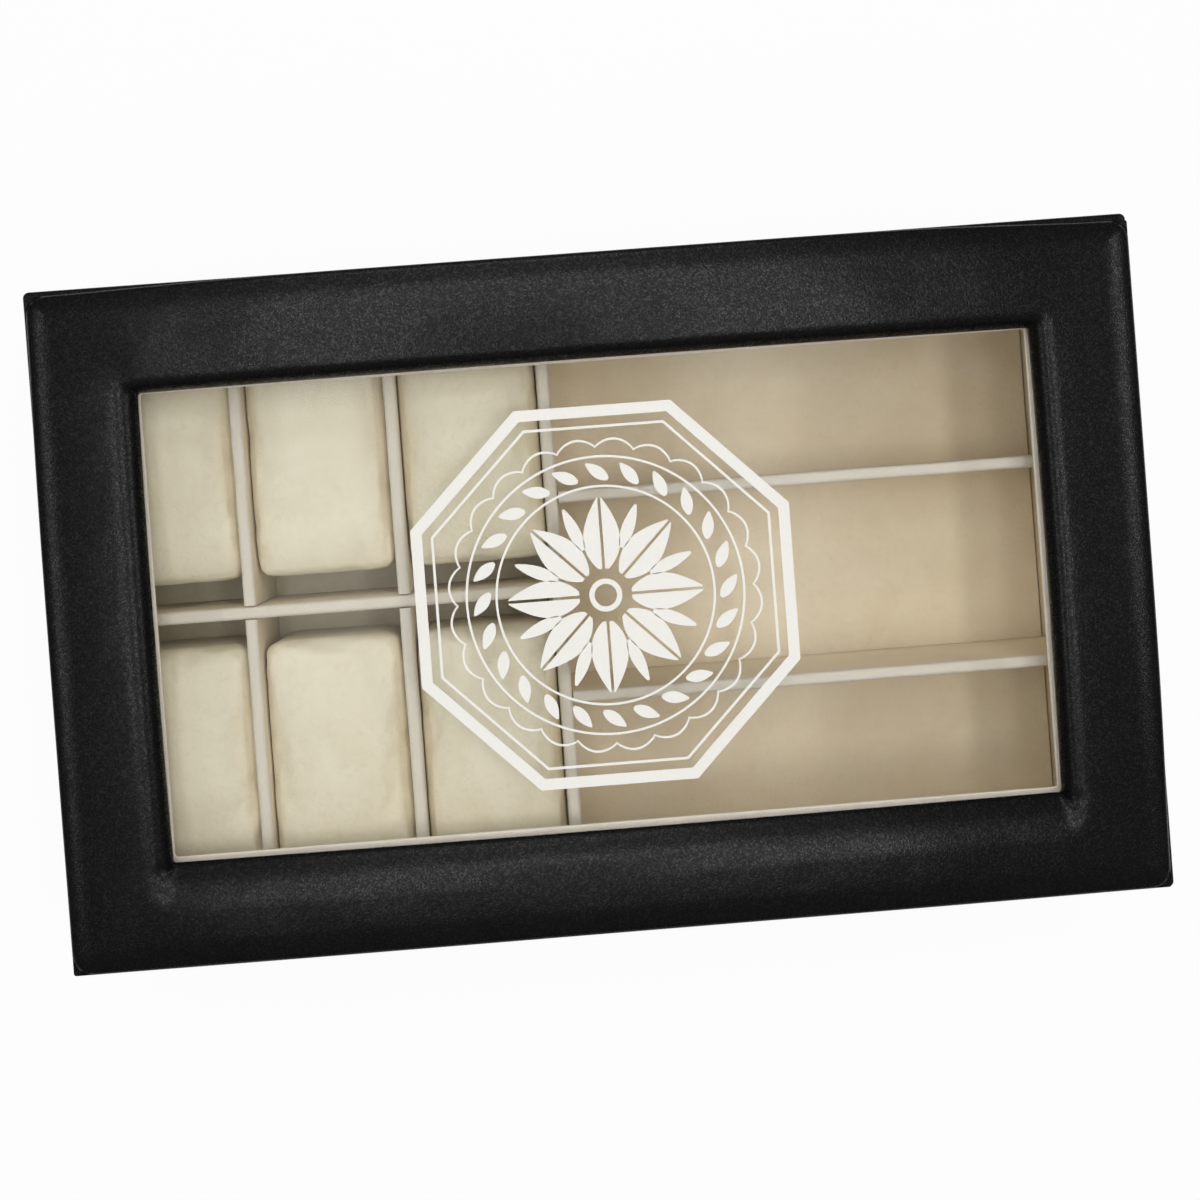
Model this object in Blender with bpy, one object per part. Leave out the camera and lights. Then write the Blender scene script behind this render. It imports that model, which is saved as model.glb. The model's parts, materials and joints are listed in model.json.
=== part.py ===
"""A case for six watches and three pairs of glasses, with a padded lid and a window.

The origin is the centre of the underside. +X runs along the length, +Y runs to
the hinges at the back, and +Z is up. All lengths are in metres.
"""
import math

import bmesh
import bpy
from mathutils import Matrix, Vector

# Whole box
BOX_LENGTH = 0.332
BOX_DEPTH = 0.2044
CORNER_RADIUS = 0.0025
FIT_GAP = 0.0003
CUT_OVERRUN = 0.001

# Leather skin round the base and the lid
WRAP_THICKNESS = 0.0008
WRAP_EDGE_RADIUS = 0.0010
BASE_HEM_WIDTH = 0.010
LID_TOP_TURN_WIDTH = 0.008

# Base, from the table up
FELT_THICKNESS = 0.0012
FELT_INSET = 0.003
BASE_HEIGHT = 0.0579
BASE_BOARD_THICKNESS = 0.0071
FLOOR_BOARD_THICKNESS = 0.0045
FLOOR_PAD_THICKNESS = 0.0026
LINING_THICKNESS = 0.0020
LIP_HEIGHT = 0.0041

# Dividers
DIVIDER_THICKNESS = 0.0038
BOARD_TOP_ROUND_SHARE = 0.36
DIVIDER_HEIGHT = 0.0467
MAIN_DIVIDER_X = -0.0126
CROSS_DIVIDER_Y = 0.0004
GLASSES_DIVIDER_BACK_Y = 0.0292
GLASSES_DIVIDER_FRONT_Y = -0.0338
WATCH_COLUMNS = ("left", "middle", "right")

# Watch pillows
PILLOW_SIDE_GAP = 0.00103
PILLOW_END_GAP = 0.0086
PILLOW_WALL_GAP = 0.0068
PILLOW_HEIGHT = 0.0480
PILLOW_CROWN = 0.0035
PILLOW_CORNER_RADIUS = 0.0032
PILLOW_TOP_CORNER_RADIUS = 0.0075
PILLOW_SIDE_ROLL = 0.0060
PILLOW_END_ROLL = 0.0120
PILLOW_SHOULDER_RISE = 0.0060
PILLOW_BASE_ROLL = 0.0030
PILLOW_DRAW_IN = 0.0012
PILLOW_CROWN_RING_SHARES = (0.75, 0.45, 0.15)

# Lid
PARTING_GAP = 0.0004
LID_FRAME_HEIGHT = 0.0193
RAIL_THICKNESS = 0.0058
LID_LINING_THICKNESS = 0.0009
LID_FRONT_WIDTH = 0.0305
LID_BACK_WIDTH = 0.0321
LID_SIDE_WIDTH = 0.0308
TOP_BOARD_THICKNESS = 0.0025

# Window, pane and the ring that holds the pane
WINDOW_CORNER_RADIUS = 0.0012
GLASS_THICKNESS = 0.0020
GLASS_OVERLAP = 0.008
GLASS_CORNER_RADIUS = 0.0015
GLASS_ARRIS = 0.0004
RETAINER_LEDGE_THICKNESS = 0.0012
RETAINER_SHOW = 0.0001
RETAINER_CORNER_RADIUS = 0.0018

# Padded cover of the lid
COVER_INSET = 0.0010
COVER_EDGE_HEIGHT = 0.0010
COVER_SHOULDER_HEIGHT = 0.0031
COVER_CROWN = 0.0010
COVER_CROWN_SHARES = (0.20, 0.35, 0.50, 0.64)
COVER_OUTER_ROLL = 0.0035
COVER_INNER_ROLL = 0.0085
COVER_LIP_WIDTH = 0.0037
COVER_LIP_ROUND = 0.0007
COVER_EDGE_TUCK = 0.0003
COVER_BOW_FRONT = 0.0009
COVER_BOW_BACK = 0.0008
COVER_BOW_SIDE = 0.0005
COVER_WINDOW_BOW = 0.0005

# Hinges
HINGE_X = 0.095
HINGE_LENGTH = 0.030
HINGE_PIN_SET_BACK = 0.0011
HINGE_LEAF_THICKNESS = 0.0008
HINGE_LEAF_MARGIN = 0.0003
KNUCKLE_RADIUS = 0.0015
PIN_RADIUS = 0.0007
PIN_HEAD_LENGTH = 0.0004
SCREW_X = 0.0100
SCREW_SET_IN = 0.0038
SCREW_LENGTH = 0.0090
SCREW_POINT_LENGTH = 0.0015
SCREW_HEAD_RADIUS = 0.0015
SCREW_SHANK_RADIUS = 0.0007
SCREW_POINT_RADIUS = 0.0002

# Counts of facets
CORNER_STEPS = 4
EDGE_STEPS = 2
COVER_SIDE_STEPS = 7
PILLOW_SIDE_STEPS = 4
ROLL_STEPS = 4
BOARD_TOP_STEPS = 3
KNUCKLE_STEPS = 12
SCREW_STEPS = 10
KNUCKLE_COUNT = 5

# Half sizes across the wall, from the outside in
HALF_LENGTH = BOX_LENGTH / 2
HALF_DEPTH = BOX_DEPTH / 2
SKIN_DEPTH = WRAP_THICKNESS + FIT_GAP
BOARD_INNER_DEPTH = SKIN_DEPTH + BASE_BOARD_THICKNESS
LINING_OUTER_DEPTH = BOARD_INNER_DEPTH + FIT_GAP
WALL_DEPTH = LINING_OUTER_DEPTH + LINING_THICKNESS
RAIL_INNER_DEPTH = SKIN_DEPTH + RAIL_THICKNESS
LID_LINING_OUTER_DEPTH = RAIL_INNER_DEPTH + FIT_GAP
INNER_HALF_LENGTH = HALF_LENGTH - WALL_DEPTH
INNER_HALF_DEPTH = HALF_DEPTH - WALL_DEPTH
WINDOW_LENGTH = BOX_LENGTH - 2 * LID_SIDE_WIDTH
WINDOW_DEPTH = BOX_DEPTH - LID_FRONT_WIDTH - LID_BACK_WIDTH
WINDOW_OFFSET_Y = (LID_FRONT_WIDTH - LID_BACK_WIDTH) / 2

# Room for the watches and their pillows
WATCH_BAY_LENGTH = MAIN_DIVIDER_X - DIVIDER_THICKNESS / 2 + INNER_HALF_LENGTH
WATCH_CELL_WIDTH = (WATCH_BAY_LENGTH + DIVIDER_THICKNESS) / len(WATCH_COLUMNS) - DIVIDER_THICKNESS
PILLOW_WIDTH = WATCH_CELL_WIDTH - 2 * PILLOW_SIDE_GAP
PILLOW_LENGTH = INNER_HALF_DEPTH - DIVIDER_THICKNESS / 2 - PILLOW_END_GAP - PILLOW_WALL_GAP

# Heights of the base
HEM_BOTTOM = FELT_THICKNESS + FIT_GAP
BOARD_BOTTOM = HEM_BOTTOM + SKIN_DEPTH
FLOOR_BOARD_TOP = BOARD_BOTTOM + FLOOR_BOARD_THICKNESS
FLOOR_PAD_BOTTOM = FLOOR_BOARD_TOP + FIT_GAP
FLOOR_TOP = FLOOR_PAD_BOTTOM + FLOOR_PAD_THICKNESS
DIVIDER_BOTTOM = FLOOR_TOP + FIT_GAP
DIVIDER_TOP = DIVIDER_BOTTOM + DIVIDER_HEIGHT
BASE_BOARD_TOP = BASE_HEIGHT - SKIN_DEPTH
LIP_TOP = BASE_HEIGHT + LIP_HEIGHT

# Heights of the lid
LID_BOTTOM = BASE_HEIGHT + PARTING_GAP
LID_FRAME_TOP = LID_BOTTOM + LID_FRAME_HEIGHT
RAIL_BOTTOM = LID_BOTTOM + SKIN_DEPTH
TOP_BOARD_TOP = LID_FRAME_TOP - SKIN_DEPTH
TOP_BOARD_BOTTOM = TOP_BOARD_TOP - TOP_BOARD_THICKNESS
RAIL_TOP = TOP_BOARD_BOTTOM - FIT_GAP
GLASS_BOTTOM = RAIL_TOP - GLASS_THICKNESS
RETAINER_LEDGE_TOP = GLASS_BOTTOM - FIT_GAP
RETAINER_BOTTOM = RETAINER_LEDGE_TOP - RETAINER_LEDGE_THICKNESS
COVER_BOTTOM = LID_FRAME_TOP + FIT_GAP

# Hinge axis
HINGE_Y = HALF_DEPTH + HINGE_PIN_SET_BACK
HINGE_Z = BASE_HEIGHT + PARTING_GAP / 2
BORE_RADIUS = PIN_RADIUS + FIT_GAP

LEATHER = ("leather", (0.016, 0.016, 0.017), 0.42, 0.0)
VELVETEEN = ("velveteen", (0.620, 0.545, 0.400), 0.90, 0.0)
FIBREBOARD = ("fibreboard", (0.250, 0.155, 0.085), 0.80, 0.0)
FELT = ("felt", (0.012, 0.012, 0.013), 0.95, 0.0)
GLASS = ("glass", (0.800, 0.850, 0.830), 0.05, 0.0)
NICKEL = ("nickel", (0.620, 0.600, 0.560), 0.28, 1.0)


def clear_scene():
    """Removes whatever the opened file holds."""
    for item in list(bpy.data.objects):
        bpy.data.objects.remove(item, do_unlink=True)


def make_material(paint, node_name):
    """Gives one node a Principled material of its own."""
    kind, colour, roughness, metallic = paint
    material = bpy.data.materials.new(f"{node_name}_{kind}")
    material.use_nodes = True
    shader = material.node_tree.nodes["Principled BSDF"]
    shader.inputs["Base Color"].default_value = (*colour, 1.0)
    shader.inputs["Roughness"].default_value = roughness
    shader.inputs["Metallic"].default_value = metallic
    material.diffuse_color = (*colour, 1.0)
    return material


def place(name, form, paint, location=(0, 0, 0)):
    """Turns a bmesh into a named object with smooth round faces and sharp edges."""
    bmesh.ops.recalc_face_normals(form, faces=form.faces)
    mesh = bpy.data.meshes.new(name)
    form.to_mesh(mesh)
    form.free()
    mesh.shade_smooth()
    mesh.set_sharp_from_angle(angle=math.radians(35))
    item = bpy.data.objects.new(name, mesh)
    item.location = location
    bpy.context.scene.collection.objects.link(item)
    if paint:
        mesh.materials.append(make_material(paint, name))
    return item


def skin_rings(rings, closed):
    """Bridges equal rings, and closes the skin on itself or with two caps."""
    form = bmesh.new()
    loops = [[form.verts.new(point) for point in ring] for ring in rings]
    pairs = list(zip(loops, loops[1:]))
    if closed:
        pairs.append((loops[-1], loops[0]))
    for lower, upper in pairs:
        for index, corner in enumerate(lower):
            after = (index + 1) % len(lower)
            form.faces.new((corner, lower[after], upper[after], upper[index]))
    if not closed:
        form.faces.new(loops[0])
        form.faces.new(loops[-1])
    return form


def rounded_outline(half_x, half_y, radius, height, centre_y=0, side_steps=1, bows=(0, 0, 0, 0)):
    """Lists the points of a rectangle with round corners, each side bowed outwards.

    The sides come in the order right, back, left, front.
    """
    points = []
    corners = ((half_x - radius, radius - half_y), (half_x - radius, half_y - radius),
               (radius - half_x, half_y - radius), (radius - half_x, radius - half_y))
    for side, (corner_x, corner_y) in enumerate(corners):
        for step in range(CORNER_STEPS + 1):
            angle = math.pi / 2 * (side - 1 + step / CORNER_STEPS)
            points.append(Vector((corner_x + radius * math.cos(angle),
                                  centre_y + corner_y + radius * math.sin(angle), height)))
        start = points[-1]
        next_x, next_y = corners[(side + 1) % len(corners)]
        outward = Vector((math.cos(math.pi / 2 * side), math.sin(math.pi / 2 * side), 0))
        end = Vector((next_x, centre_y + next_y, height)) + outward * radius
        for step in range(1, side_steps):
            share = step / side_steps
            bow = bows[side] * math.sin(math.pi * share)
            points.append(start.lerp(end, share) + outward * bow)
    return points


def inset_outline(depth, height, radius_limit=CORNER_RADIUS):
    """Gives the box's own outline drawn in by a depth, at a height."""
    radius = max(radius_limit - depth, FIT_GAP)
    return rounded_outline(HALF_LENGTH - depth, HALF_DEPTH - depth, radius, height)


def window_outline(margin, height, radius=WINDOW_CORNER_RADIUS, side_steps=1, bows=(0, 0, 0, 0)):
    """Gives the window's outline grown by a margin, at a height."""
    return rounded_outline(WINDOW_LENGTH / 2 + margin, WINDOW_DEPTH / 2 + margin, radius + max(margin, 0),
                           height, WINDOW_OFFSET_Y, side_steps, bows)


def slab(name, low, high, paint):
    """Makes a flat board between two opposite corners."""
    low = Vector(low)
    high = Vector(high)
    form = bmesh.new()
    bmesh.ops.create_cube(form, size=1)
    size = high - low
    bmesh.ops.scale(form, vec=size, verts=form.verts)
    bmesh.ops.translate(form, vec=(low + high) / 2, verts=form.verts)
    return place(name, form, paint)


def wall_board(name, side, thickness, bottom, top, paint):
    """Makes a long front or back wall whose outer corners are rounded to fit the skin."""
    outer = HALF_DEPTH - SKIN_DEPTH
    reach = HALF_LENGTH - SKIN_DEPTH
    faces = sorted((side * outer, side * (outer - thickness)))
    form = bmesh.new()
    bmesh.ops.create_cube(form, size=1)
    bmesh.ops.scale(form, vec=(2 * reach, thickness, top - bottom), verts=form.verts)
    bmesh.ops.translate(form, vec=(0, sum(faces) / 2, (bottom + top) / 2), verts=form.verts)
    corners = [edge for edge in form.edges
               if all(abs(vert.co.y) > outer - thickness / 2 for vert in edge.verts)
               and abs(edge.verts[0].co.z - edge.verts[1].co.z) > thickness]
    bmesh.ops.bevel(form, geom=corners, offset=CORNER_RADIUS - SKIN_DEPTH, segments=3,
                    profile=0.5, affect="EDGES")
    return place(name, form, paint)


def round_topped_board(name, start, end, thickness, bottom, top, paint):
    """Makes a covered card between two floor points, its top edge rounded on both sides."""
    start = Vector((*start, 0))
    end = Vector((*end, 0))
    along = (end - start).normalized()
    across = Vector((-along.y, along.x, 0))
    half = thickness / 2
    radius = thickness * BOARD_TOP_ROUND_SHARE
    section = [(-half, bottom), (half, bottom)]
    for side in (1, -1):
        for step in range(BOARD_TOP_STEPS + 1):
            angle = math.pi / 2 * step / BOARD_TOP_STEPS
            if side < 0:
                angle = math.pi / 2 - angle
            section.append((side * (half - radius + radius * math.cos(angle)),
                            top - radius + radius * math.sin(angle)))
    rings = [[foot + across * offset + Vector((0, 0, height)) for offset, height in section]
             for foot in (start, end)]
    return place(name, skin_rings(rings, closed=False), paint)


def turned(name, profile, steps, paint, location=(0, 0, 0), along="Z"):
    """Turns a profile of radius and height about its axis."""
    rings = []
    for radius, height in profile:
        circle = []
        for step in range(steps):
            angle = 2 * math.pi * (step + 0.5) / steps
            circle.append(Vector((radius * math.cos(angle), radius * math.sin(angle), height)))
        rings.append(circle)
    form = skin_rings(rings, closed=False)
    if along == "X":
        bmesh.ops.rotate(form, verts=form.verts, matrix=Matrix.Rotation(math.pi / 2, 3, "Y"))
    return place(name, form, paint, location)


def carve(item, cutter):
    """Cuts one solid out of another, and keeps the cutter as a hidden guide."""
    cutter.hide_render = True
    cutter.display_type = "WIRE"
    cut = item.modifiers.new(cutter.name, "BOOLEAN")
    cut.operation = "DIFFERENCE"
    cut.solver = "EXACT"
    cut.object = cutter


def hang_on(pivot, items):
    """Parents items to a pivot and leaves them where they are."""
    for item in items:
        item.parent = pivot
        item.matrix_parent_inverse = Matrix.Translation(-pivot.location)


def make_underside():
    """Lays the felt sheet and the floor board."""
    felt = [inset_outline(FELT_INSET, height) for height in (0, FELT_THICKNESS)]
    place("underside_felt", skin_rings(felt, closed=False), FELT)
    floor_depth = BOARD_INNER_DEPTH + FIT_GAP
    floor = [inset_outline(floor_depth, height) for height in (BOARD_BOTTOM, FLOOR_BOARD_TOP)]
    place("base_floor_board", skin_rings(floor, closed=False), FIBREBOARD)


def make_walls(prefix, kind, thickness, bottom, top):
    """Sets long walls at the front and back and short walls between them."""
    walls = {}
    for side, side_name in ((-1, "front"), (1, "back")):
        name = f"{prefix}_{side_name}_{kind}"
        walls[side_name] = wall_board(name, side, thickness, bottom, top, FIBREBOARD)
    outer = HALF_LENGTH - SKIN_DEPTH
    reach = HALF_DEPTH - SKIN_DEPTH - thickness - FIT_GAP
    for side, side_name in ((-1, "left"), (1, "right")):
        faces = sorted((side * outer, side * (outer - thickness)))
        walls[side_name] = slab(f"{prefix}_{side_name}_{kind}", (faces[0], -reach, bottom),
                                (faces[1], reach, top), FIBREBOARD)
    return walls


def skin_section(bottom, top, bottom_turn, top_turn):
    """Lists depth and height round the section of a skin folded in at both edges."""
    radius = WRAP_EDGE_RADIUS
    section = [(bottom_turn, bottom + WRAP_THICKNESS), (bottom_turn, bottom)]
    for step in range(EDGE_STEPS + 1):
        angle = math.pi / 2 * step / EDGE_STEPS
        section.append((radius - radius * math.sin(angle), bottom + radius - radius * math.cos(angle)))
    for step in range(EDGE_STEPS + 1):
        angle = math.pi / 2 * step / EDGE_STEPS
        section.append((radius - radius * math.cos(angle), top - radius + radius * math.sin(angle)))
    section += [(top_turn, top), (top_turn, top - WRAP_THICKNESS)]
    section += [(WRAP_THICKNESS, top - WRAP_THICKNESS), (WRAP_THICKNESS, bottom + WRAP_THICKNESS)]
    return section


def make_skin(name, bottom, top, bottom_turn, top_turn):
    """Wraps a skin round the box between two heights."""
    section = skin_section(bottom, top, bottom_turn, top_turn)
    rings = [inset_outline(depth, height) for depth, height in section]
    return place(name, skin_rings(rings, closed=True), LEATHER)


def make_linings():
    """Stands covered cards along the walls, a lip higher than the rim."""
    outer_x = HALF_LENGTH - LINING_OUTER_DEPTH
    middle_x = outer_x - LINING_THICKNESS / 2
    middle_y = HALF_DEPTH - LINING_OUTER_DEPTH - LINING_THICKNESS / 2
    reach_y = INNER_HALF_DEPTH - FIT_GAP
    for side, side_name in ((-1, "front"), (1, "back")):
        round_topped_board(f"lining_{side_name}", (-outer_x, side * middle_y), (outer_x, side * middle_y),
                           LINING_THICKNESS, FLOOR_PAD_BOTTOM, LIP_TOP, VELVETEEN)
    for side, side_name in ((-1, "left"), (1, "right")):
        round_topped_board(f"lining_{side_name}", (side * middle_x, -reach_y), (side * middle_x, reach_y),
                           LINING_THICKNESS, FLOOR_PAD_BOTTOM, LIP_TOP, VELVETEEN)


def make_floor_pads():
    """Lays a pad in each bay, either side of the main divider."""
    reach_x = INNER_HALF_LENGTH - FIT_GAP
    reach_y = INNER_HALF_DEPTH - FIT_GAP
    beside = DIVIDER_THICKNESS / 2 + FIT_GAP
    slab("watch_bay_floor_pad", (-reach_x, -reach_y, FLOOR_PAD_BOTTOM),
         (MAIN_DIVIDER_X - beside, reach_y, FLOOR_TOP), VELVETEEN)
    slab("glasses_bay_floor_pad", (MAIN_DIVIDER_X + beside, -reach_y, FLOOR_PAD_BOTTOM),
         (reach_x, reach_y, FLOOR_TOP), VELVETEEN)


def make_dividers():
    """Stands the dividers: one between the bays, and those of each bay."""
    reach_x = INNER_HALF_LENGTH - FIT_GAP
    reach_y = INNER_HALF_DEPTH - FIT_GAP
    beside = DIVIDER_THICKNESS / 2 + FIT_GAP
    size = (DIVIDER_THICKNESS, DIVIDER_BOTTOM, DIVIDER_TOP, VELVETEEN)
    round_topped_board("main_divider", (MAIN_DIVIDER_X, -reach_y), (MAIN_DIVIDER_X, reach_y),
                       DIVIDER_THICKNESS, FLOOR_PAD_BOTTOM, DIVIDER_TOP, VELVETEEN)
    round_topped_board("cross_divider", (-reach_x, CROSS_DIVIDER_Y),
                       (MAIN_DIVIDER_X - beside, CROSS_DIVIDER_Y), *size)
    for side, row in ((-1, "front"), (1, "back")):
        for column, column_name in enumerate(("left", "right")):
            place_x = (column + 1) * (WATCH_CELL_WIDTH + DIVIDER_THICKNESS) - INNER_HALF_LENGTH
            place_x -= DIVIDER_THICKNESS / 2
            round_topped_board(f"watch_divider_{row}_{column_name}",
                               (place_x, CROSS_DIVIDER_Y + side * beside), (place_x, side * reach_y), *size)
    for row, place_y in (("front", GLASSES_DIVIDER_FRONT_Y), ("back", GLASSES_DIVIDER_BACK_Y)):
        round_topped_board(f"glasses_divider_{row}", (MAIN_DIVIDER_X + beside, place_y),
                           (reach_x, place_y), *size)


def pillow_ring(side_roll, end_roll, height, draw_share, radius=PILLOW_CORNER_RADIUS):
    """Gives one level outline of a pillow, its long faces drawn in at mid length."""
    outline = rounded_outline(PILLOW_WIDTH / 2 - side_roll, PILLOW_LENGTH / 2 - end_roll,
                              radius, height, side_steps=PILLOW_SIDE_STEPS)
    for point in outline:
        middle_share = 1 - (2 * point.y / PILLOW_LENGTH) ** 2
        point.x -= math.copysign(PILLOW_DRAW_IN * draw_share * middle_share, point.x)
    return outline


def pillow_rings():
    """Lists a pillow's level outlines, from its round foot to its crowned top."""
    rings = []
    for step in range(EDGE_STEPS + 1):
        angle = math.pi / 2 * step / EDGE_STEPS
        roll = PILLOW_BASE_ROLL * (1 - math.sin(angle))
        rings.append(pillow_ring(roll, roll, PILLOW_BASE_ROLL * (1 - math.cos(angle)), 0))
    shoulder = PILLOW_HEIGHT - PILLOW_CROWN - PILLOW_SHOULDER_RISE
    rings.append(pillow_ring(0, 0, (PILLOW_BASE_ROLL + shoulder) / 2, 1))
    for step in range(ROLL_STEPS + 1):
        angle = math.pi / 2 * step / ROLL_STEPS
        fall = 1 - math.cos(angle)
        rise = PILLOW_SHOULDER_RISE * math.sin(angle)
        radius = PILLOW_CORNER_RADIUS + (PILLOW_TOP_CORNER_RADIUS - PILLOW_CORNER_RADIUS) * math.sin(angle)
        rings.append(pillow_ring(PILLOW_SIDE_ROLL * fall, PILLOW_END_ROLL * fall, shoulder + rise, 0, radius))
    top = rings[-1]
    for share in PILLOW_CROWN_RING_SHARES:
        rise = PILLOW_CROWN * (1 - share ** 2)
        rings.append([Vector((point.x * share, point.y * share, point.z + rise)) for point in top])
    return rings


def make_pillows():
    """Sets a pillow in each watch cell, with room for a strap at both ends."""
    cell_pitch = WATCH_CELL_WIDTH + DIVIDER_THICKNESS
    divider_face = DIVIDER_THICKNESS / 2
    for side, row in ((-1, "front"), (1, "back")):
        place_y = CROSS_DIVIDER_Y + side * (divider_face + PILLOW_END_GAP + PILLOW_LENGTH / 2)
        for column, column_name in enumerate(WATCH_COLUMNS):
            place_x = column * cell_pitch + WATCH_CELL_WIDTH / 2 - INNER_HALF_LENGTH
            place(f"watch_pillow_{row}_{column_name}", skin_rings(pillow_rings(), closed=False),
                  VELVETEEN, (place_x, place_y, FLOOR_TOP + FIT_GAP))


def make_top_board():
    """Makes the ring board under the padded cover."""
    outer = SKIN_DEPTH
    inner = COVER_LIP_WIDTH + FIT_GAP
    rings = [inset_outline(outer, TOP_BOARD_BOTTOM), inset_outline(outer, TOP_BOARD_TOP),
             window_outline(inner, TOP_BOARD_TOP), window_outline(inner, TOP_BOARD_BOTTOM)]
    return place("lid_top_board", skin_rings(rings, closed=True), FIBREBOARD)


def cover_section():
    """Lists the padded cover's section over its top, from the outer edge to the pane.

    Each entry is a share of the way from the outer outline to the window, a
    length added to it, and a height.
    """
    shoulder = COVER_BOTTOM + COVER_SHOULDER_HEIGHT
    edge = COVER_BOTTOM + COVER_EDGE_HEIGHT
    lip = TOP_BOARD_BOTTOM + COVER_LIP_ROUND
    section = [(0, COVER_EDGE_TUCK, COVER_BOTTOM)]
    for step in range(ROLL_STEPS):
        angle = math.pi / 2 * step / ROLL_STEPS
        height = edge + (shoulder - edge) * math.sin(angle)
        section.append((0, COVER_OUTER_ROLL * (1 - math.cos(angle)), height))
    for share in COVER_CROWN_SHARES:
        section.append((share, 0, shoulder + COVER_CROWN * math.sin(math.pi * share)))
    for step in range(1, ROLL_STEPS + 2):
        angle = math.pi / 2 * step / (ROLL_STEPS + 1)
        height = lip + (shoulder - lip) * math.cos(angle)
        section.append((1, -COVER_INNER_ROLL * (1 - math.sin(angle)), height))
    return section


def make_padded_cover():
    """Makes the padded cover: a crowned ring that rolls down to the pane."""
    outer_bows = (COVER_BOW_SIDE, COVER_BOW_BACK, COVER_BOW_SIDE, COVER_BOW_FRONT)
    window_bows = (COVER_WINDOW_BOW,) * len(outer_bows)
    outer = rounded_outline(HALF_LENGTH - COVER_INSET, HALF_DEPTH - COVER_INSET, CORNER_RADIUS, 0,
                            side_steps=COVER_SIDE_STEPS, bows=outer_bows)
    inner = window_outline(0, 0, side_steps=COVER_SIDE_STEPS, bows=window_bows)
    rings = []
    for share, shift, height in cover_section():
        ring = []
        for rim, edge in zip(outer, inner):
            inward = (edge - rim).normalized()
            ring.append(rim.lerp(edge, share) + inward * shift + Vector((0, 0, height)))
        rings.append(ring)
    seat = TOP_BOARD_TOP + FIT_GAP
    step_depth = LID_TOP_TURN_WIDTH + FIT_GAP
    straight = (0,) * len(outer_bows)
    under = ((COVER_EDGE_TUCK, TOP_BOARD_BOTTOM, window_bows),
             (COVER_LIP_WIDTH, TOP_BOARD_BOTTOM, straight),
             (COVER_LIP_WIDTH, seat, straight))
    for margin, height, bows in under:
        rings.append(window_outline(margin, height, side_steps=COVER_SIDE_STEPS, bows=bows))
    for height in (seat, COVER_BOTTOM):
        rings.append(rounded_outline(HALF_LENGTH - step_depth, HALF_DEPTH - step_depth, FIT_GAP, height,
                                     side_steps=COVER_SIDE_STEPS))
    return place("lid_padded_cover", skin_rings(rings, closed=True), LEATHER)


def make_glass():
    """Makes the pane, its edges ground to a small arris."""
    sizes = ((GLASS_BOTTOM, -GLASS_ARRIS), (GLASS_BOTTOM + GLASS_ARRIS, 0),
             (RAIL_TOP - GLASS_ARRIS, 0), (RAIL_TOP, -GLASS_ARRIS))
    rings = [window_outline(GLASS_OVERLAP + shrink, height, GLASS_CORNER_RADIUS - GLASS_OVERLAP)
             for height, shrink in sizes]
    return place("glass_pane", skin_rings(rings, closed=False), GLASS)


def make_retainer():
    """Makes the covered ring that holds the pane from below in its rebate."""
    outer = RAIL_INNER_DEPTH + FIT_GAP
    rebate = GLASS_OVERLAP + FIT_GAP
    show = -RETAINER_SHOW
    rings = [inset_outline(outer, RETAINER_BOTTOM), inset_outline(outer, RAIL_TOP),
             window_outline(rebate, RAIL_TOP, GLASS_CORNER_RADIUS - GLASS_OVERLAP),
             window_outline(rebate, RETAINER_LEDGE_TOP, GLASS_CORNER_RADIUS - GLASS_OVERLAP),
             window_outline(show, RETAINER_LEDGE_TOP, RETAINER_CORNER_RADIUS),
             window_outline(show, RETAINER_BOTTOM, RETAINER_CORNER_RADIUS)]
    return place("glass_retainer", skin_rings(rings, closed=True), VELVETEEN)


def make_lid_lining():
    """Lines the inner faces of the rails with one thin covered band."""
    outer = LID_LINING_OUTER_DEPTH
    inner = outer + LID_LINING_THICKNESS
    bottom = LID_BOTTOM + FIT_GAP
    top = RETAINER_BOTTOM - FIT_GAP
    rings = [inset_outline(outer, bottom), inset_outline(outer, top),
             inset_outline(inner, top), inset_outline(inner, bottom)]
    return place("lid_side_lining", skin_rings(rings, closed=True), VELVETEEN)


def leaf_section(side):
    """Lists a leaf's section about the pin: a plate that runs into a round knuckle.

    The side is 1 for the leaf above the pin and -1 for the one below.
    """
    near = PARTING_GAP / 2
    far = near + HINGE_LEAF_THICKNESS
    plate_end = HINGE_Y - (HALF_DEPTH - RAIL_INNER_DEPTH + HINGE_LEAF_MARGIN)
    start = math.pi + math.asin(near / KNUCKLE_RADIUS)
    stop = math.pi + math.asin(far / KNUCKLE_RADIUS) - 2 * math.pi
    section = [(-plate_end, near), (-plate_end, far)]
    for step in range(KNUCKLE_STEPS + 1):
        angle = stop + (start - stop) * step / KNUCKLE_STEPS
        section.append((KNUCKLE_RADIUS * math.cos(angle), -KNUCKLE_RADIUS * math.sin(angle)))
    return [(across, side * height) for across, height in section]


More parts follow.
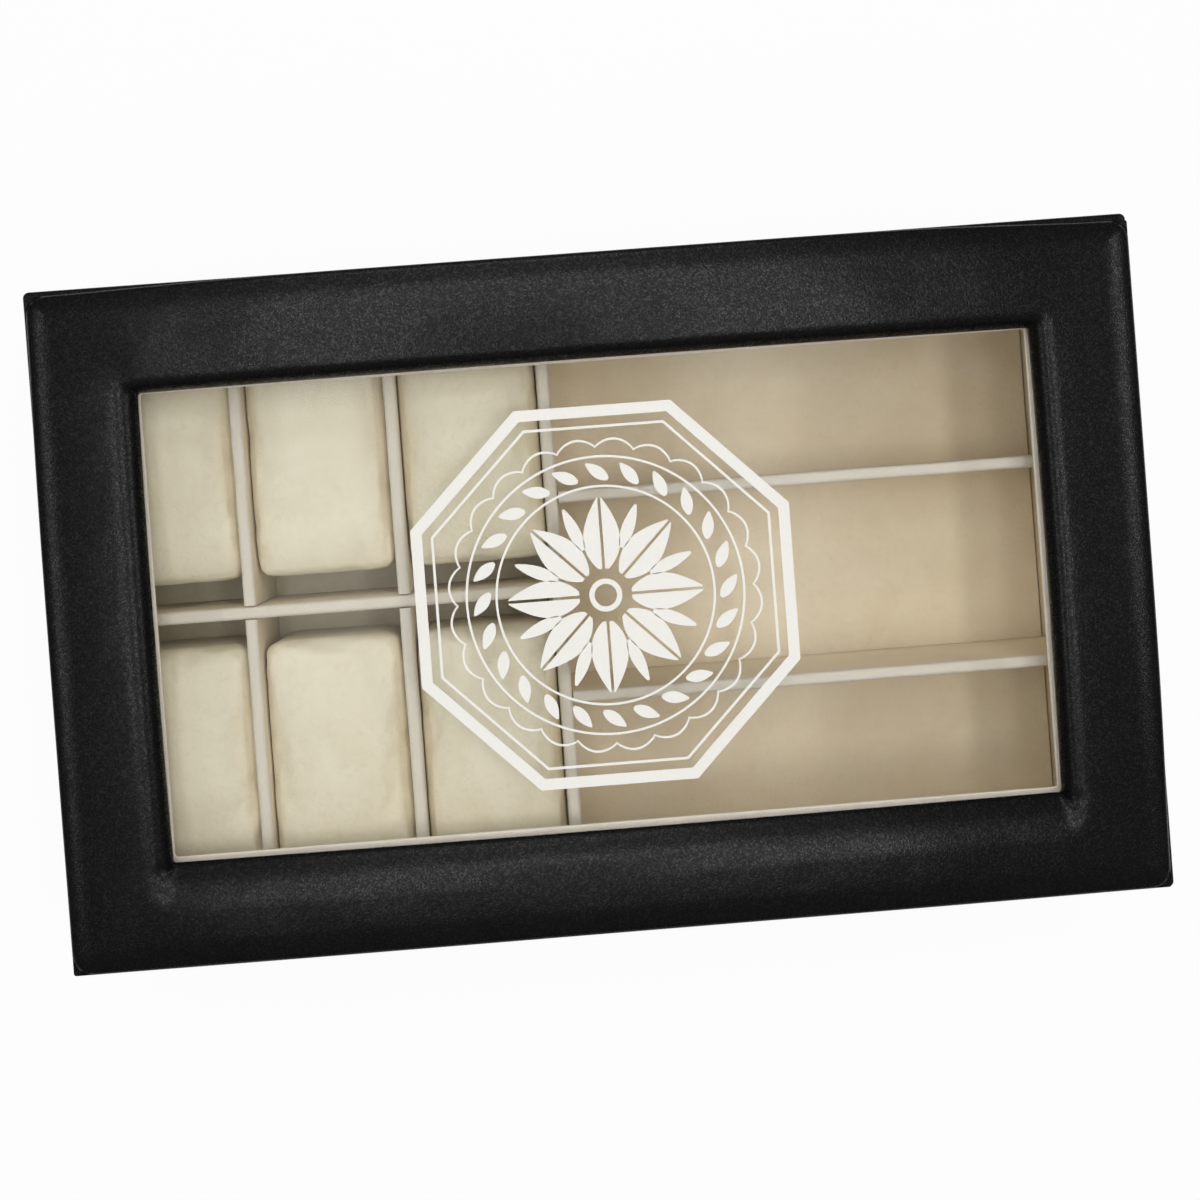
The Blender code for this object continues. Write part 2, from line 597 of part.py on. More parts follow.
def knuckle_notches(side, centre_x):
    """Makes the cutters that clear the other leaf's knuckles."""
    pitch = HINGE_LENGTH / KNUCKLE_COUNT
    first = 0 if side > 0 else 1
    reach = KNUCKLE_RADIUS + CUT_OVERRUN
    cutters = []
    for knuckle in range(first, KNUCKLE_COUNT, 2):
        left = centre_x - HINGE_LENGTH / 2 + knuckle * pitch
        low_x = left - (CUT_OVERRUN if knuckle == 0 else FIT_GAP / 2)
        high_x = left + pitch + (CUT_OVERRUN if knuckle == KNUCKLE_COUNT - 1 else FIT_GAP / 2)
        low = (low_x, HINGE_Y - KNUCKLE_RADIUS - FIT_GAP, HINGE_Z - reach)
        high = (high_x, HINGE_Y + reach, HINGE_Z + reach)
        cutters.append(slab(f"cutter_notch_{side}_{centre_x}_{knuckle}", low, high, None))
    return cutters


def screw_profile(side, gap):
    """Lists a countersunk screw's radii and heights from head to point, or its hole's."""
    profile = [(SCREW_HEAD_RADIUS + gap, 0), (SCREW_SHANK_RADIUS + gap, side * HINGE_LEAF_THICKNESS),
               (SCREW_SHANK_RADIUS + gap, side * (SCREW_LENGTH - SCREW_POINT_LENGTH + gap)),
               (SCREW_POINT_RADIUS + gap, side * (SCREW_LENGTH + gap))]
    if gap:
        profile.insert(0, (SCREW_HEAD_RADIUS + gap, -side * gap))
    return profile


def make_leaf(name, side, centre_x):
    """Makes one leaf, notched for the other's knuckles and bored for the pin."""
    half = HINGE_LENGTH / 2
    rings = [[Vector((end, HINGE_Y + across, HINGE_Z + height)) for across, height in leaf_section(side)]
             for end in (centre_x - half, centre_x + half)]
    leaf = place(name, skin_rings(rings, closed=False), NICKEL)
    for cutter in knuckle_notches(side, centre_x):
        carve(leaf, cutter)
    reach = half + CUT_OVERRUN
    bore = turned(f"cutter_bore_{name}", [(BORE_RADIUS, -reach), (BORE_RADIUS, reach)], KNUCKLE_STEPS,
                  None, (centre_x, HINGE_Y, HINGE_Z), along="X")
    carve(leaf, bore)
    return leaf


def screw_down(leaf, board, side, centre_x):
    """Drives two countersunk screws through a leaf into its board."""
    screws = []
    away = math.copysign(SCREW_X, centre_x)
    spot_y = HALF_DEPTH - SCREW_SET_IN
    spot_z = HINGE_Z + side * PARTING_GAP / 2
    for spot_x, end_name in ((centre_x + away, "outer"), (centre_x - away, "inner")):
        spot = (spot_x, spot_y, spot_z)
        name = leaf.name.replace("leaf", f"screw_{end_name}")
        screws.append(turned(name, screw_profile(side, 0), SCREW_STEPS, NICKEL, spot))
        hole = turned(f"cutter_{name}", screw_profile(side, FIT_GAP), SCREW_STEPS, None, spot)
        carve(leaf, hole)
        carve(board, hole)
    return screws


def make_pin(name, centre_x):
    """Makes a hinge pin with slightly rounded ends."""
    half = HINGE_LENGTH / 2
    neck = half - PIN_HEAD_LENGTH
    profile = [(PIN_RADIUS / 2, -half), (PIN_RADIUS, -neck), (PIN_RADIUS, neck), (PIN_RADIUS / 2, half)]
    turned(name, profile, KNUCKLE_STEPS, NICKEL, (centre_x, HINGE_Y, HINGE_Z), along="X")


def make_hinge(side_name, centre_x, base_board, lid_rail):
    """Makes one hinge, and gives the pieces of it that turn with the lid."""
    base_leaf = make_leaf(f"hinge_{side_name}_base_leaf", -1, centre_x)
    screw_down(base_leaf, base_board, -1, centre_x)
    make_pin(f"hinge_{side_name}_pin", centre_x)
    lid_leaf = make_leaf(f"hinge_{side_name}_lid_leaf", 1, centre_x)
    return [lid_leaf] + screw_down(lid_leaf, lid_rail, 1, centre_x)


def let_hinges_into(skin):
    """Cuts the skin's edge back round both hinges."""
    half = HINGE_LENGTH / 2 + FIT_GAP
    reach = KNUCKLE_RADIUS + FIT_GAP
    inner_y = HALF_DEPTH - BOARD_INNER_DEPTH - CUT_OVERRUN
    outer_y = HINGE_Y + reach
    for centre_x in (-HINGE_X, HINGE_X):
        cutter = slab(f"cutter_{skin.name}_{centre_x}", (centre_x - half, inner_y, HINGE_Z - reach),
                      (centre_x + half, outer_y, HINGE_Z + reach), None)
        carve(skin, cutter)


def make_base():
    """Builds what stands on the table, and gives the board that the hinges are screwed to."""
    make_underside()
    walls = make_walls("base", "board", BASE_BOARD_THICKNESS, BOARD_BOTTOM, BASE_BOARD_TOP)
    skin = make_skin("base_leather_wrap", HEM_BOTTOM, BASE_HEIGHT, BASE_HEM_WIDTH, BOARD_INNER_DEPTH)
    let_hinges_into(skin)
    make_linings()
    make_floor_pads()
    make_dividers()
    return walls["back"]


def make_lid():
    """Builds the lid, and gives its pieces and the rail that the hinges are screwed to."""
    rails = make_walls("lid", "rail", RAIL_THICKNESS, RAIL_BOTTOM, RAIL_TOP)
    skin = make_skin("lid_leather_wrap", LID_BOTTOM, LID_FRAME_TOP, RAIL_INNER_DEPTH, LID_TOP_TURN_WIDTH)
    let_hinges_into(skin)
    pieces = list(rails.values())
    pieces += [skin, make_top_board(), make_padded_cover()]
    pieces += [make_glass(), make_retainer(), make_lid_lining()]
    return pieces, rails["back"]


def main():
    """Builds the whole case, shut."""
    clear_scene()
    base_board = make_base()
    lid_pieces, lid_rail = make_lid()
    for side, side_name in ((-1, "left"), (1, "right")):
        lid_pieces += make_hinge(side_name, side * HINGE_X, base_board, lid_rail)
    pivot = bpy.data.objects.new("lid_pivot", None)
    pivot.location = (0, HINGE_Y, HINGE_Z)
    bpy.context.scene.collection.objects.link(pivot)
    hang_on(pivot, lid_pieces)
    make_pillows()


main()
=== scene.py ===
"""Watch and glasses box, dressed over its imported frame.

Each sub-assembly is a class that holds its sizes and builds its meshes, and each
finish is a small class that makes its material. Shapes are surfaces worked out
with numpy as whole arrays. All lengths are in metres.
"""
from __future__ import annotations

import json
import logging
import math
import sys
from dataclasses import dataclass, field
from enum import Enum
from typing import Any

import bpy
import numpy as np
from mathutils import Matrix, Vector


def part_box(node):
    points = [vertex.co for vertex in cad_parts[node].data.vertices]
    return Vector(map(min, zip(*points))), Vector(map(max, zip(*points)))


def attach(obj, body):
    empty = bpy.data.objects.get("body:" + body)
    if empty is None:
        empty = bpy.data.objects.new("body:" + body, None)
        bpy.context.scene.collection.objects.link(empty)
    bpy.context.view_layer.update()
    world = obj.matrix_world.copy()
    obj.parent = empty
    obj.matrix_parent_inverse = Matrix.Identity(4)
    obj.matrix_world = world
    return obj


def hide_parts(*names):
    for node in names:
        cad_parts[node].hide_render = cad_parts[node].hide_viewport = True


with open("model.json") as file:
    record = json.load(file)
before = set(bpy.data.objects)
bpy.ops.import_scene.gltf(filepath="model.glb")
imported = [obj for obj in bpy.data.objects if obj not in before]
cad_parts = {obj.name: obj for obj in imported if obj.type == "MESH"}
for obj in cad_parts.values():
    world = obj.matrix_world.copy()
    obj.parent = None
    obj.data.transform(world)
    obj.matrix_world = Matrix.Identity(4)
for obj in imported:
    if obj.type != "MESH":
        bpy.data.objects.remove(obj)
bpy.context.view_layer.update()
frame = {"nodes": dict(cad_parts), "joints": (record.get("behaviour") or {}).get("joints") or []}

LOG = logging.getLogger("watch_box")
MM = 0.001
SIDES = ("front", "back", "left", "right")
# Signs of x and y: right back, right front, left back, left front
CORNERS = ((1, 1), (1, -1), (-1, 1), (-1, -1))
# Steps of an outline round the case, along a short side, along a long side and round a corner
CASE_STEPS = (110, 180, 10)
SHARP_ANGLE = math.radians(50)
Points = np.ndarray
Faces = np.ndarray
Four = tuple[float, float, float, float]
Settings = tuple[tuple[str, float], ...]


class Row(Enum):
    """The two rows of watch cells."""

    BACK = "back"
    FRONT = "front"


class Column(Enum):
    """The three columns of watch cells."""

    LEFT = "left"
    MIDDLE = "middle"
    RIGHT = "right"


class Slot(Enum):
    """The record's material slots."""

    LEATHER = "leather"
    VELVETEEN = "velveteen"
    GLASS = "glass"
    NICKEL = "nickel"


# Colour and shader nodes


def linear(code: str) -> Four:
    """Turns an sRGB hex code to linear colour.

    Args:
        code: six hex digits after a hash.

    Returns:
        Linear red, green and blue, with an alpha of one.
    """
    share = np.array([int(code[start:start + 2], 16) for start in (1, 3, 5)]) / 255
    light = np.where(share <= 0.04045, share / 12.92, ((share + 0.055) / 1.055) ** 2.4)
    return (*(float(part) for part in light), 1.0)


def add_node(tree: bpy.types.NodeTree, kind: str, settings: dict[Any, Any] | None = None) -> bpy.types.Node:
    """Adds a node with its settings and links.

    Args:
        tree: the node tree that takes the node.
        kind: the node's type name, after the word ShaderNode.
        settings: what goes into each property, named input or numbered input,
            properties first. A socket is linked to the input, and a node
            stands for its first output.

    Returns:
        The new node.
    """
    node = tree.nodes.new(f"ShaderNode{kind}")
    for key, value in (settings or {}).items():
        if isinstance(value, bpy.types.Node):
            value = value.outputs[0]
        if isinstance(key, str) and key not in node.inputs:
            setattr(node, key, value)
        elif isinstance(value, bpy.types.NodeSocket):
            tree.links.new(value, node.inputs[key])
        else:
            node.inputs[key].default_value = value
    return node


# Surfaces as arrays


@dataclass
class Surface:
    """Points with the four-sided and three-sided faces between them."""

    points: Points
    quads: Faces
    fans: Faces = field(default_factory=lambda: np.zeros((0, 3), int))

    def volume(self) -> float:
        """Adds up the signed volumes of the tetrahedra from the origin to each face."""
        first, second, third, fourth = (self.points[self.quads[:, corner]] for corner in range(4))
        total = np.einsum("ij,ij->", first, np.cross(second, third))
        total += np.einsum("ij,ij->", first, np.cross(third, fourth))
        if len(self.fans):
            first, second, third = (self.points[self.fans[:, corner]] for corner in range(3))
            total += np.einsum("ij,ij->", first, np.cross(second, third))
        return float(total) / 6

    def outward(self) -> Surface:
        """Gives the same surface with faces that point out of its volume."""
        if self.volume() >= 0:
            return self
        return Surface(self.points, self.quads[:, ::-1], self.fans[:, ::-1])


def grid_faces(rows: int, columns: int, wrap_rows: bool, wrap_columns: bool) -> Faces:
    """Lists the quads between neighbours of a grid of points.

    Args:
        rows: how many rows of points.
        columns: how many points in a row.
        wrap_rows: True if the last row joins the first.
        wrap_columns: True if a row's last point joins its first.

    Returns:
        Four point numbers for each face.
    """
    row, column = np.meshgrid(np.arange(rows if wrap_rows else rows - 1),
                              np.arange(columns if wrap_columns else columns - 1), indexing="ij")
    next_row = (row + 1) % rows * columns
    next_column = (column + 1) % columns
    row = row * columns
    corners = (row + column, row + next_column, next_row + next_column, next_row + column)
    return np.stack(corners, axis=-1).reshape(-1, 4)


def border_loop(rows: int, columns: int) -> Faces:
    """Lists the point numbers round the border of a grid, in order.

    Args:
        rows: how many rows of points.
        columns: how many points in a row.

    Returns:
        Point numbers.
    """
    number = np.arange(rows * columns).reshape(rows, columns)
    return np.concatenate((number[0, :-1], number[:-1, -1], number[-1, :0:-1], number[:0:-1, 0]))


def loft(rings: Points, closed: bool = False) -> Surface:
    """Joins equal closed rings in order, like barrel hoops under one skin.

    Args:
        rings: points by ring, place in the ring and axis.
        closed: True if the last ring joins the first. Otherwise a fan of
            triangles to each end ring's mean point closes the surface.

    Returns:
        The closed surface, facing outwards.
    """
    rows, columns, _ = rings.shape
    points = rings.reshape(-1, 3)
    quads = grid_faces(rows, columns, closed, True)
    if closed:
        return Surface(points, quads).outward()
    points = np.concatenate((points, rings[[0, -1]].mean(axis=1)))
    here = np.arange(columns)
    after = (here + 1) % columns
    last = (rows - 1) * columns
    first_fan = np.stack((after, here, np.full(columns, rows * columns)), axis=-1)
    last_fan = np.stack((last + here, last + after, np.full(columns, rows * columns + 1)), axis=-1)
    return Surface(points, quads, np.concatenate((first_fan, last_fan))).outward()


def thin_plate(patch: Points, bottom: float, top: float) -> Surface:
    """Thickens a flat patch of points into a closed plate.

    The patch is laid once at each height, and a strip along its border joins
    the two.

    Args:
        patch: points by row, column and axis x or y.
        bottom: the lower height.
        top: the upper height.

    Returns:
        The closed plate, facing outwards.
    """
    rows, columns, _ = patch.shape
    flat = patch.reshape(-1, 2)
    count = len(flat)
    faces = grid_faces(rows, columns, False, False)
    border = border_loop(rows, columns)
    after = np.roll(border, -1)
    wall = np.stack((border, after, after + count, border + count), axis=-1)
    points = np.concatenate((at_height(flat, bottom), at_height(flat, top)))
    return Surface(points, np.concatenate((faces[:, ::-1], faces + count, wall))).outward()


def together(surfaces: list[Surface]) -> Surface:
    """Puts several closed surfaces in one list of points and faces.

    Args:
        surfaces: the surfaces, which don't touch each other.

    Returns:
        One surface that holds them all.
    """
    starts = np.cumsum([0] + [len(surface.points) for surface in surfaces])
    return Surface(np.concatenate([surface.points for surface in surfaces]),
                   np.concatenate([surface.quads + start for surface, start in zip(surfaces, starts)]),
                   np.concatenate([surface.fans + start for surface, start in zip(surfaces, starts)]))


def ripple(points: Points, wavelength: float, seed: int, waves: int = 9) -> np.ndarray:
    """Gives a smooth uneven value at each point.

    The value is the mean of sines along random directions, each with a
    wavelength near the given one and a random start, scaled to about one.

    Args:
        points: points by axis.
        wavelength: the usual distance from one rise to the next.
        seed: chooses the directions and starts.
        waves: how many sines.

    Returns:
        A value from about minus one to one at each point.
    """
    chance = np.random.default_rng(seed)
    direction = chance.normal(size=(waves, 3))
    direction /= np.linalg.norm(direction, axis=1, keepdims=True)
    length = wavelength * chance.uniform(0.7, 1.5, size=waves)
    start = chance.uniform(0, 2 * math.pi, size=waves)
    phase = points @ (direction / length[:, None]).T * 2 * math.pi + start
    return np.sin(phase).sum(axis=-1) / math.sqrt(waves)


@dataclass(frozen=True)
class Outline:
    """A rectangle with round corners whose sides may bow outwards."""

    half_x: float
    half_y: float
    radius: float
    centre_y: float = 0.0
    bows: Four = (0.0, 0.0, 0.0, 0.0)

    def points(self, short_steps: int, long_steps: int, corner_steps: int) -> Points:
        """Lists the outline's points, right side first, against the clock.

        A corner is a quarter circle. Between two corners the points follow
        the straight side, moved outwards by its bow times the sine of pi
        times the share of the way along it.

        Args:
            short_steps: steps along a side that runs in y.
            long_steps: steps along a side that runs in x.
            corner_steps: steps round a corner.

        Returns:
            Points by axis x and y.
        """
        reach = np.array((self.half_x - self.radius, self.half_y - self.radius))
        centres = reach * ((1, -1), (1, 1), (-1, 1), (-1, -1))
        runs = []
        for side in range(4):
            turn = np.linspace(0, 1, corner_steps + 1) * math.pi / 2 + math.pi / 2 * (side - 1)
            arc = centres[side] + self.radius * np.column_stack((np.cos(turn), np.sin(turn)))
            out = np.array((math.cos(math.pi / 2 * side), math.sin(math.pi / 2 * side)))
            steps = short_steps if side % 2 == 0 else long_steps
            share = np.linspace(0, 1, steps + 1)[1:-1, None]
            stop = centres[(side + 1) % 4] + self.radius * out
            line = arc[-1] + (stop - arc[-1]) * share + out * self.bows[side] * np.sin(math.pi * share)
            runs += [arc, line]
        return np.concatenate(runs) + (0, self.centre_y)


def at_height(outline: Points, height: float) -> Points:
    """Lays an outline of x and y at one height."""
    return np.column_stack((outline, np.full(len(outline), height)))


def circle(count: int) -> tuple[np.ndarray, Points]:
    """Gives the turns of even steps round a circle, and its points at a radius of one."""
    turn = np.arange(count) * 2 * math.pi / count
    return turn, np.column_stack((np.cos(turn), np.sin(turn)))


def quarter(steps: int) -> tuple[np.ndarray, np.ndarray]:
    """Gives one less the cosine, and the sine, of even steps of a quarter turn."""
    turn = np.linspace(0, math.pi / 2, steps + 1)
    return 1 - np.cos(turn), np.sin(turn)


# Objects and nodes


def make_object(name: str, surface: Surface) -> bpy.types.Object:
    """Puts a surface into an object at the origin.

    Args:
        name: the object's name.
        surface: its points and faces.

    Returns:
        The new object.
    """
    mesh = bpy.data.meshes.new(name)
    mesh.from_pydata(surface.points.tolist(), [], surface.quads.tolist() + surface.fans.tolist())
    item = bpy.data.objects.new(name, mesh)
    bpy.context.scene.collection.objects.link(item)
    return item


def make_piece(name: str, surface: Surface, material: bpy.types.Material, body: str,
               node: str = "") -> bpy.types.Object:
    """Turns a surface into a dressed piece that rides on a body.

    Args:
        name: the piece's name.
        surface: its points and faces.
        material: its finish.
        body: the body that carries it.
        node: the node that it stands for, if there is one.

    Returns:
        The new object.
    """
    piece = make_object(name, surface)
    piece.data.shade_smooth()
    piece.data.set_sharp_from_angle(angle=SHARP_ANGLE)
    piece.data.materials.append(material)
    if node:
        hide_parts(node)
    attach(piece, body)
    LOG.info("%s rides on %s, %d faces", name, body, len(piece.data.polygons))
    return piece


def apply_modifiers(piece: bpy.types.Object) -> None:
    """Puts what a piece's modifiers make into its mesh, and removes them.

    Args:
        piece: the object.
    """
    graph = bpy.context.evaluated_depsgraph_get()
    made = bpy.data.meshes.new_from_object(piece.evaluated_get(graph), preserve_all_data_layers=True,
                                           depsgraph=graph)
    piece.modifiers.clear()
    old, piece.data = piece.data, made
    made.name = piece.name
    bpy.data.meshes.remove(old)


def repaint(node: str, material: bpy.types.Material) -> None:
    """Gives a node that is shown as it is a finer material.

    Args:
        node: the node's name.
        material: its finish.
    """
    item = frame["nodes"][node]
    item.data.materials.clear()
    item.data.materials.append(material)
    LOG.info("%s is shown as it is, in %s", node, material.name)


def span(node: str) -> tuple[Points, Points]:
    """Gives a node's lowest and highest corner as arrays."""
    low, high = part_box(node)
    return np.array(low), np.array(high)


def hinge_axis() -> Vector:
    """Gives a point on the axis that the lid turns on."""
    return Vector(next(joint for joint in frame["joints"] if joint["name"] == "lid_hinge")["pos_m"])


# Finishes


@dataclass(frozen=True)
class Finish:
    """What a piece is made of and how its surface was worked."""

    name: str

    def shader(self, tree: bpy.types.NodeTree) -> bpy.types.Node:
        """Adds the finish's nodes.

        Args:
            tree: the material's nodes.

        Returns:
            The node that ends the finish.
        """
        raise NotImplementedError

    def material(self) -> bpy.types.Material:
        """Makes the material.

        Returns:
            A new material with the finish's last node on its output.
        """
        material = bpy.data.materials.new(self.name)
        material.use_nodes = True
        material.node_tree.nodes.clear()
        add_node(material.node_tree, "OutputMaterial", {"Surface": self.shader(material.node_tree)})
        return material


@dataclass(frozen=True)
class Leatherette(Finish):
    """Black PVC leatherette, calendered with a pebble grain over a fine one.

    It gives the eye a deep black whose highlights break into fine sparks.
    """

    name: str = "leatherette_pvc_black_pebble"
    colour: str = "#0b0b0b"
    pale_colour: str = "#101011"
    pebble: float = 0.50 * MM
    waver: float = 0.08 * MM
    fine_grain: float = 0.20 * MM
    cloud: float = 14 * MM
    pebble_height: float = 0.028 * MM
    fine_height: float = 0.006 * MM
    roughness_low: float = 0.14
    roughness_high: float = 0.32
    shine_low: float = 0.15
    shine_high: float = 0.42
    spark_power: float = 3.0

    def shader(self, tree: bpy.types.NodeTree) -> bpy.types.Node:
        """Adds pebbles as closed cells, a few of them shinier, with duller pits between them.

        Args:
            tree: the material's nodes.

        Returns:
            The node that ends the finish.
        """
        place = add_node(tree, "TexCoord").outputs["Object"]
        wave = add_node(tree, "TexNoise", {"Scale": 1 / self.pebble, "Detail": 1.0, "Vector": place})
        pulled = add_node(tree, "Mix", {"data_type": "VECTOR", 0: self.waver, 4: place,
                                        5: wave.outputs["Color"]})
        cells = add_node(tree, "TexVoronoi", {"feature": "F1", "Scale": 1 / self.pebble, "Randomness": 1.0,
                                              "Vector": pulled.outputs[1]})
        fine = add_node(tree, "TexNoise", {"Scale": 1 / self.fine_grain, "Detail": 2.0, "Roughness": 0.6,
                                           "Vector": place})
        cloud = add_node(tree, "TexNoise", {"Scale": 1 / self.cloud, "Detail": 3.0, "Vector": place})
        low = add_node(tree, "Bump", {"invert": True, "Strength": 1.0, "Distance": self.pebble_height,
                                      "Height": cells})
        high = add_node(tree, "Bump", {"Strength": 1.0, "Distance": self.fine_height, "Height": fine,
                                       "Normal": low})
        dull = add_node(tree, "MapRange", {"From Min": 0.1, "From Max": 0.7, "To Min": self.roughness_low,
                                           "To Max": self.roughness_high, "Value": cells})
        tone = add_node(tree, "Mix", {"data_type": "RGBA", 0: cloud, 6: linear(self.colour),
                                      7: linear(self.pale_colour)})
        chance = add_node(tree, "SeparateColor", {"Color": cells.outputs["Color"]})
        spark = add_node(tree, "Math", {"operation": "POWER", 0: chance, 1: self.spark_power})
        shine = add_node(tree, "MapRange", {"To Min": self.shine_low, "To Max": self.shine_high,
                                            "Value": spark})
        return add_node(tree, "BsdfPrincipled", {"IOR": 1.5, "Base Color": tone.outputs[2], "Roughness": dull,
                                                 "Specular IOR Level": shine, "Normal": high})


@dataclass(frozen=True)
class Velveteen(Finish):
    """Pale velveteen, a short brushed pile on a woven back.

    It gives the eye a soft matt cream with paler and darker patches where the
    pile leans one way or the other, and a faint bloom at the edges. Over the
    boards' tops it may have a paler grey painted on, which stands for the white
    light falling straight on them. The pile is drawn coarser than it is, so that it shows.
    """

    name: str = "velveteen_cream"
    colour: str = "#e2d4b7"
    shade_colour: str = "#d3c3a0"
    pale_colour: str = "#e8dcc3"
    bloom_colour: str = "#fff6e2"
    painted_top_colour: str = ""
    edge_height: float = 56 * MM
    edge_blend: float = 0.6 * MM
    nap_patch: float = 26 * MM
    crush: float = 2.6 * MM
    pile: float = 0.45 * MM
    pile_height: float = 0.10 * MM
    crush_height: float = 0.18 * MM

    def shader(self, tree: bpy.types.NodeTree) -> bpy.types.Node:
        """Adds patches of lean, finer crushes, a painted paler top and the grain of the pile.

        Args:
            tree: the material's nodes.

        Returns:
            The node that ends the finish.
        """
        place = add_node(tree, "TexCoord").outputs["Object"]
        patch = add_node(tree, "TexNoise", {"Scale": 1 / self.nap_patch, "Detail": 4.0, "Roughness": 0.55,
                                            "Distortion": 0.6, "Vector": place})
        crush = add_node(tree, "TexNoise", {"Scale": 1 / self.crush, "Detail": 3.0, "Roughness": 0.5,
                                            "Distortion": 1.2, "Vector": place})
        pile = add_node(tree, "TexNoise", {"Scale": 1 / self.pile, "Detail": 2.0, "Roughness": 0.7,
                                           "Vector": place})
        lean = add_node(tree, "MapRange", {"From Min": 0.30, "From Max": 0.70, "Value": patch})
        tone = add_node(tree, "Mix", {"data_type": "RGBA", 0: lean, 6: linear(self.colour),
                                      7: linear(self.pale_colour)})
        fleck = add_node(tree, "MapRange", {"From Min": 0.50, "From Max": 0.80, "To Max": 0.30,
                                            "Value": crush})
        tone = add_node(tree, "Mix", {"data_type": "RGBA", 0: fleck, 6: tone.outputs[2],
                                      7: linear(self.shade_colour)})
        # Painted light: from this height up, the boards' tops take a paler grey that stands for the white
        # light falling straight on them.
        if self.painted_top_colour:
            height = add_node(tree, "SeparateXYZ", {0: place})
            above = add_node(tree, "MapRange", {"From Min": self.edge_height - self.edge_blend,
                                                "From Max": self.edge_height, "Value": height.outputs["Z"]})
            tone = add_node(tree, "Mix", {"data_type": "RGBA", 0: above, 6: tone.outputs[2],
                                          7: linear(self.painted_top_colour)})
        low = add_node(tree, "Bump", {"Strength": 1.0, "Distance": self.crush_height, "Height": crush})
        high = add_node(tree, "Bump", {"Strength": 1.0, "Distance": self.pile_height, "Height": pile,
                                       "Normal": low})
        return add_node(tree, "BsdfPrincipled", {"Roughness": 0.95, "IOR": 1.45, "Specular IOR Level": 0.15,
                                                 "Sheen Weight": 0.25, "Sheen Roughness": 0.5,
                                                 "Sheen Tint": linear(self.bloom_colour),
                                                 "Base Color": tone.outputs[2], "Normal": high})


@dataclass(frozen=True)
class FloatGlass(Finish):
    """Clear float glass with a coat that dims and softens its shine, as picture glass has.

    It gives the eye a faint reflection over what lies behind it. The front
    face mirrors, and light passes straight through.
    """

    name: str = "glass_float_clear"
    tint: str = "#fefefe"
    ior: float = 1.5
    strength: float = 0.30
    roughness: float = 0.16

    def shader(self, tree: bpy.types.NodeTree) -> bpy.types.Node:
        """Adds a mirror laid over clear by the angle of sight, on front faces only.

        Args:
            tree: the material's nodes.

        Returns:
            The node that ends the finish.
        """
        face = add_node(tree, "NewGeometry").outputs["Backfacing"]
        front = add_node(tree, "Math", {"operation": "MULTIPLY_ADD", 0: face, 1: -self.strength,
                                        2: self.strength})
        slant = add_node(tree, "Fresnel", {"IOR": self.ior})
        share = add_node(tree, "Math", {"operation": "MULTIPLY", 0: slant, 1: front})
        clear = add_node(tree, "BsdfTransparent", {"Color": linear(self.tint)})
        mirror = add_node(tree, "BsdfGlossy", {"Roughness": self.roughness})
        return add_node(tree, "MixShader", {0: share, 1: clear, 2: mirror})


@dataclass(frozen=True)
class OneGrain(Finish):
    """A matt surface with a single grain, which shades it between two colours and roughens it."""

    low_colour: str = "#000000"
    high_colour: str = "#ffffff"
    grain: float = 1 * MM
    grain_height: float = 0.01 * MM
    bump: float = 1.0
    drawn: tuple[float, float, float] = (1.0, 1.0, 1.0)
    spread: tuple[float, float] = (0.0, 1.0)
    noise: Settings = ()
    surface: Settings = ()

    def shader(self, tree: bpy.types.NodeTree) -> bpy.types.Node:
        """Adds the grain, drawn out where it has a direction and spread where it needs contrast.

        Args:
            tree: the material's nodes.

        Returns:
            The node that ends the finish.
        """
        place = add_node(tree, "TexCoord").outputs["Object"]
        if self.drawn != (1.0, 1.0, 1.0):
            place = add_node(tree, "Mapping", {"Scale": self.drawn, "Vector": place})
        grain = add_node(tree, "TexNoise", {"Scale": 1 / self.grain, "Vector": place, **dict(self.noise)})
        share = grain
        if self.spread != (0.0, 1.0):
            low, high = self.spread
            share = add_node(tree, "MapRange", {"From Min": low, "From Max": high, "Value": grain})
        tone = add_node(tree, "Mix", {"data_type": "RGBA", 0: share, 6: linear(self.low_colour),
                                      7: linear(self.high_colour)})
        bump = add_node(tree, "Bump", {"Strength": self.bump, "Distance": self.grain_height, "Height": grain})
        return add_node(tree, "BsdfPrincipled", {"Base Color": tone.outputs[2], "Normal": bump,
                                                 **dict(self.surface)})


@dataclass(frozen=True)
class EtchedFrost(OneGrain):
    """Glass frosted by a sand blast and filled white.

    It gives the eye an even, chalky white with a fine tooth, and a little of
    what is behind shows through. The tooth is drawn coarser than it is, so
    that it shows.
    """

    name: str = "frost_etched_white"
    low_colour: str = "#f9f7f2"
    high_colour: str = "#f1eee6"
    grain: float = 0.4 * MM
    bump: float = 0.4
    noise: Settings = (("Detail", 2.0),)
    surface: Settings = (("Roughness", 0.7), ("IOR", 1.5), ("Alpha", 0.95), ("Specular IOR Level", 0.3))


@dataclass(frozen=True)
class Fibreboard(OneGrain):
    """Medium density fibreboard, pressed and sawn.

    It gives the eye a dull warm brown, flecked with pale and dark fibres.
    """

    name: str = "fibreboard_sawn"
    low_colour: str = "#7c5d3d"
    high_colour: str = "#9c7b56"
    grain: float = 0.8 * MM
    grain_height: float = 0.05 * MM
    bump: float = 0.6
    drawn: tuple[float, float, float] = (0.3, 1.0, 1.0)
    spread: tuple[float, float] = (0.35, 0.65)
    noise: Settings = (("Detail", 5.0), ("Roughness", 0.7))
    surface: Settings = (("Roughness", 0.82), ("IOR", 1.45))


